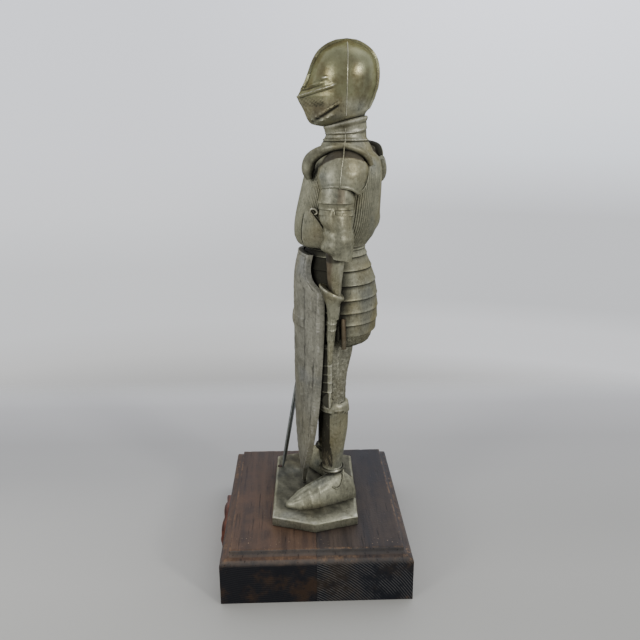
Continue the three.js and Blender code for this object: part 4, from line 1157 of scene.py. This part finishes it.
shield = metal_mesh()
rings, marks = [], []
rows = levels(0, shield_height, 0.95, (arms_low, arms_high, shield_height - 2.2))
for z in rows:
    width, t = shield_width(z), z / shield_height
    bow = 4.3 * max(0.0, 1 - t / 0.37) ** 2 + 2.8 * max(0.0, (t - 0.85) / 0.15) ** 2
    crown = 1.7 * fade(z, 122, 128)
    thick = shield_thick * min(1.0, 0.5 + z / 40)
    band = min(border, width * 0.55)
    cross = min(cross_half, (width - band) * 0.5)
    steps = 46
    ring, mark = [], []
    for i in range(steps + 1):
        x = width * math.sin((i / steps * 2 - 1) * math.pi / 2 * 0.999) * -1
        inner = min(width - abs(x), max(0.0, shield_height - z) * 1.2)
        in_band = 1 - fade(inner, band - 0.25, band + 0.25)
        rim = 1 - fade(inner, 0.9, 1.5)
        groove = ridge(inner - band - 0.35, 0.32) + 0.7 * ridge(inner - 1.7, 0.25)
        bead = rim * (0.6 + 0.4 * math.cos(z * 3.1))
        on_arms = fade(z, arms_low - 0.2, arms_low + 0.2) * (1 - fade(z, arms_high - 0.2, arms_high + 0.2))
        on_cross = max(1 - fade(abs(x), cross - 0.2, cross + 0.2), on_arms) * (1 - in_band)
        reeds = math.sin(x * 4.6 + 0.8 * ripple(x * 0.4, z * 0.05, 2.0)) * (0.6 + 0.4 * ripple(x, z * 0.1, 5.0))
        hatch = math.sin((z * 0.8 + abs(x) * 1.4) * 2.4) * in_band * (1 - rim) * fade(z, 96, 104)
        rise = 0.3 * in_band + 0.42 * bead - 0.35 * groove + 0.45 * on_cross
        rise += 0.13 * reeds * (1 - rim) + 0.06 * hatch + 0.22 * ripple(x * 0.5, z * 0.35, 6.0)
        sag = shield_sag(x)
        dome = max(0.0, 1 - math.hypot(x, z - 102) / 4.6)
        rise += 0.9 * math.sqrt(min(1.0, 1.6 * dome)) if dome > 0 else 0.0
        ring.append(Vector((x, shield_front + bow + sag - rise, shield_foot + z - crown * (x / shield_half) ** 2)))
        worn = 0.5 + 0.9 * ripple(x * 0.2, z * 0.12, 8.0)
        streak = ripple(x * 2.4, z * 0.16, 12.0)
        rub_and_highlight = 0.6 * bead * worn + 0.3 * on_cross * worn + 0.4 * reeds + 0.15 * hatch + 0.55 * streak
        mark.append((rub_and_highlight - 0.8 * groove, 0.0))
    back = 14
    for i in range(back + 1):
        x = (width - 0.1) * (i / back * 2 - 1)
        sag = shield_sag(x)
        ring.append(Vector((x, shield_front + bow + sag + thick, shield_foot + z - crown * (x / shield_half) ** 2)))
        mark.append((-0.2, 0.0))
    rings.append(ring)
    marks.append(mark)
lay(shield, rings, Matrix.Identity(4), marks)
grey = patina((0.32, 0.312, 0.255), (0.028, 0.027, 0.023), (0.62, 0.6, 0.53), (0.3, 0.275, 0.19), 0.45, 0.8, 1.4)
grey_metal = material("grey_cast_metal", grey, **dull_edges)
piece("shield_casting", shield, grey_metal, ["shield"], sharp=45)


# Sword: a steel blade of diamond section, blued dark with age, with a bar guard, a bound
# grip and a turned pommel. Its point rests on the plate and its grip is in the right fist.
blade_width, blade_thick, guard_half, grip_radius, binding = 4.4, 1.9, 11.0, 1.7, 3.6
sword = metal_mesh()
reach = (grasp - sword_tip).length
guard_z = -fist_half - gap - 1
blade_rows = [
    (-reach, 0.14, 0.3), (3 - reach, 0.4, 0.85), (12 - reach, 0.8, 1.15), (-60, 0.9, 1.2), (guard_z, 1.0, 1.2)
]
rings, marks = [], []
for z in levels(-reach, guard_z, 2.6):
    _, wide, deep = smooth(blade_rows, z)
    ring, mark = [], []
    for k in range(16):
        angle = k / 16 * 2 * math.pi
        s, c = math.sin(angle), -math.cos(angle)
        fuller = 0.16 * ridge(s, 0.3) * fade(z, -reach + 20, -reach + 40)
        flat = (abs(s) ** 2.2 + abs(c) ** 2.2) ** (1 / 2.2)
        ring.append(Vector((blade_width / 2 * wide * s / flat, (blade_thick / 2 * deep - fuller) * c / flat, z)))
        mark.append((0.55 * fade(abs(s), 0.85, 1.0), 0.0))
    rings.append(ring)
    marks.append(mark)
lay(sword, rings, hilt, marks)
guard_line = [(x * guard_half, 0, guard_z - (1 if abs(x) == 1 else 0)) for x in (-1, -0.5, 0, 0.5, 1)]
tube(guard_line, [1.2, 0.8, 1.1, 0.8, 1.2], 16, 30, bright=0.4, place=hilt, bm=sword,
     relief=lambda a, t: (0.12 * math.cos(t * 60), 0.3))
grip_top = fist_half + 1.3
grip = [(z, -grip_radius, grip_radius, grip_radius) for z in (guard_z, grip_top)]
form(grip, levels(guard_z, grip_top, 0.35), 28,
     lambda a, z, x, y: (-0.15 + 0.15 * math.cos(z * binding + a), 0.3), hilt, bm=sword)
ball = [
    (0, 0.05), (0.25, 0.95), (0.9, 1.9), (1.8, 2.6), (3.1, 3.1), (4.4, 2.6), (5.3, 1.9), (5.95, 0.95), (6.2, 0.05)
]
form([(fist_half + 0.3 + z, -r, r, r) for z, r in ball], levels(fist_half + 0.3, fist_half + 6.5, 0.4), 32,
     lambda a, z, x, y: (0.1 * ridge(z - fist_half - 3.4, 0.35), 0.9 * ridge(z - fist_half - 3.4, 0.5)),
     hilt, bm=sword)
blued = patina((0.17, 0.185, 0.18), (0.035, 0.038, 0.038), (0.42, 0.44, 0.43), (0.13, 0.125, 0.1), 0.4, 0.8)
dark_steel = material("dark_steel", blued)
piece("sword_steel", sword, dark_steel, ["sword"], sharp=40)


# Plaque: a thin cast tablet painted red-brown and pinned to the front of the base. Its face
# is bare, inside a raised border, with a round boss at each end.
plaque = bmesh.new()
tablet_half, tablet_high, tablet_thick = 25.0, 8.5, 1.6
rim_points = 72
bmesh.ops.create_circle(plaque, cap_ends=True, segments=rim_points, radius=1.0)
for v in plaque.verts:
    angle = math.atan2(v.co.y, v.co.x)
    lobes = 1 + 0.05 * math.cos(4 * angle) + 0.03 * math.cos(8 * angle)
    flat = (abs(math.cos(angle)) ** 2.6 + abs(math.sin(angle)) ** 2.6) ** (-1 / 2.6)
    v.co = Vector((math.cos(angle) * tablet_half * 0.93, math.sin(angle) * tablet_high * 0.92, 0)) * flat * lobes
face = list(plaque.faces)
before = 1.0
for rise, shrink in ((0.9, 1.0), (1.3, 0.975), (1.3, 0.93), (0.9, 0.91), (0, 0.89)):
    face, points = extruded(plaque, face, shrink == 1.0)
    for v in points:
        v.co = Vector((v.co.x * shrink / before, v.co.y * shrink / before, tablet_thick + rise))
    before = shrink
bmesh.ops.triangulate(plaque, faces=[f for f in plaque.faces if len(f.verts) > 4])
for v in plaque.verts:
    v.co.z *= 0.62 + 0.38 * abs(math.cos(v.co.x * math.pi / 17)) ** 0.7
for side in (1, -1):
    made = bmesh.ops.create_uvsphere(plaque, u_segments=24, v_segments=12, radius=2.6)["verts"]
    bmesh.ops.scale(plaque, vec=(1, 1, 0.5), verts=made)
    bmesh.ops.translate(plaque, vec=(side * 19.6, 0, tablet_thick + 0.45), verts=made)
stand = Matrix.Translation((0, -base_depth / 2 - 0.3, base_side / 2 + 0.6)) @ Matrix.Rotation(math.pi / 2, 4, "X")
bmesh.ops.transform(plaque, matrix=stand, verts=plaque.verts)
bmesh.ops.recalc_face_normals(plaque, faces=plaque.faces)


def painted_casting(place):
    blotch = place.noise(160.0, 4.0, 0.6)
    fine = place.noise(1200.0, 3.0, 0.6)
    closed = place.node("AmbientOcclusion", {"Distance": 0.003}, {"samples": 6}, out=1)
    color = blotch.between(0.35, 0.65).mix((0.085, 0.026, 0.016), (0.19, 0.067, 0.036))
    color = (1 - closed.between(0.35, 0.9)).clamped().mix(color, (0.02, 0.012, 0.01))
    return {
        "Base Color": color,
        "Roughness": 0.42 + 0.25 * blotch,
        "Normal": (fine * 0.5 + blotch * 0.5).bump(0.35, 0.0003),
    }


red_brown = material("red_brown_paint", painted_casting, Specular_IOR_Level=0.2)
piece("plaque_casting", plaque, red_brown, ["plaque"], sharp=40)


# The studio: a pale sweep, its floor painted lighter and darker to stand in for the light on it, lit softly from
# above, with the camera at the photograph's place and angle.
stage_mesh = bmesh.new()
bmesh.ops.create_circle(stage_mesh, cap_ends=True, segments=96, radius=9.0)
floor_mesh = bpy.data.meshes.new("studio_floor")
stage_mesh.to_mesh(floor_mesh)
stage_mesh.free()


def pale_floor(place):
    ahead, aside = (place.axis(k) for k in range(2))
    # Painted light: the floor is darkest a little behind the statue and lighter towards the camera and towards its
    # far edge, where it fades out, standing in for how the light falls on it.
    stops = [
        (0.0, (0.66, 0.66, 0.655)), (0.15, (0.5, 0.495, 0.49)), (0.36, (0.4, 0.395, 0.385)),
        (0.5, (0.405, 0.4, 0.385)),
        (0.7, (0.47, 0.463, 0.435)), (0.88, (0.51, 0.5, 0.465)), (1.0, (0.49, 0.483, 0.445)),
    ]
    color = place.node("ValToRGB", {"Fac": ahead * 3.1 + 0.75}, stops=stops)
    # Painted shade: the floor towards the camera on the right is darkened.
    right = ((aside * 2.6 + 0.5).clamped() * ahead.between(-0.1, 0.0) * 0.35).clamped()
    color = right.mix(color, (0.2, 0.2, 0.19))
    return {"Base Color": color, "Alpha": ahead.between(-0.27, -0.2)}


floor_mesh.materials.append(material("pale_floor", pale_floor, Roughness=0.85))
floor = placed("studio_floor", floor_mesh)

world = bpy.data.worlds.new("studio")
bpy.context.scene.world = world
world.use_nodes = True
sky = world.node_tree.nodes["Background"]
direction = Wire(world.node_tree.nodes.new("ShaderNodeTexCoord").outputs["Generated"])
ahead, aside, upward = (direction.axis(k) for k in range(3))
room = upward.between(-0.3, 0.6).mix((0.42, 0.425, 0.435), (0.56, 0.565, 0.575))
height = upward * 1.9 + 0.72
left_stops = [
    (0.0, (0.5, 0.5, 0.495)), (0.036, (0.57, 0.57, 0.565)), (0.115, (0.76, 0.76, 0.76)), (0.19, (0.85, 0.86, 0.88)),
    (0.34, (0.88, 0.895, 0.92)), (0.49, (1.02, 1.04, 1.08)), (0.65, (1.09, 1.11, 1.18)), (1.0, (1.15, 1.18, 1.27)),
]
right_stops = [
    (0.0, (0.55, 0.55, 0.54)), (0.036, (0.64, 0.64, 0.635)), (0.105, (0.9, 0.91, 0.94)), (0.19, (0.9, 0.91, 0.94)),
    (0.25, (0.77, 0.785, 0.81)), (0.48, (0.81, 0.825, 0.86)), (0.56, (1.0, 1.03, 1.09)), (0.64, (1.2, 1.26, 1.35)),
    (0.75, (1.34, 1.4, 1.5)), (1.0, (1.56, 1.6, 1.75)),
]
walls = [direction.node("ValToRGB", {"Fac": height}, stops=stops) for stops in (left_stops, right_stops)]
wall = aside.between(-0.25, 0.35).mix(*walls)
glow = ahead.between(0.3, -0.5).mix(room, wall)
world.node_tree.links.new(glow.socket, sky.inputs["Color"])
sky.inputs["Strength"].default_value = 1.0


def softbox(name, place, height, size, power):
    """A square lamp that looks at the middle of the statue, at this height"""
    lamp = bpy.data.lights.new(name, "AREA")
    lamp.shape, lamp.size, lamp.energy = "SQUARE", size, power
    made = placed(name, lamp)
    made.location = place
    made.rotation_euler = (Vector((0, 0, height)) - Vector(place)).to_track_quat("-Z", "Y").to_euler()


softbox("key", (0.92, 0.85, 0.56), 0.14, 0.15, 5.6)
softbox("fill", (0.85, -0.9, 0.56), 0.14, 0.26, 4.0)
softbox("top", (0.1, 0.5, 1.3), 0.1, 0.8, 2.0)

azimuth, pitch, roll = math.radians(88.05), math.radians(16.41), math.radians(-0.18)
back = Vector((math.sin(azimuth) * math.cos(pitch), -math.cos(azimuth) * math.cos(pitch), math.sin(pitch)))
lens = bpy.data.cameras.new("camera")
lens.sensor_width, lens.lens = 36.0, 37.8
lens.clip_start, lens.clip_end = 0.01, 30.0
camera = placed("camera", lens)
camera.matrix_world = Matrix.Translation((0.354, -0.0081, 0.24)) @ (
    (-back).to_track_quat("-Z", "Y").to_matrix().to_4x4() @ Matrix.Rotation(roll, 4, "Z")
)
bpy.context.scene.camera = camera
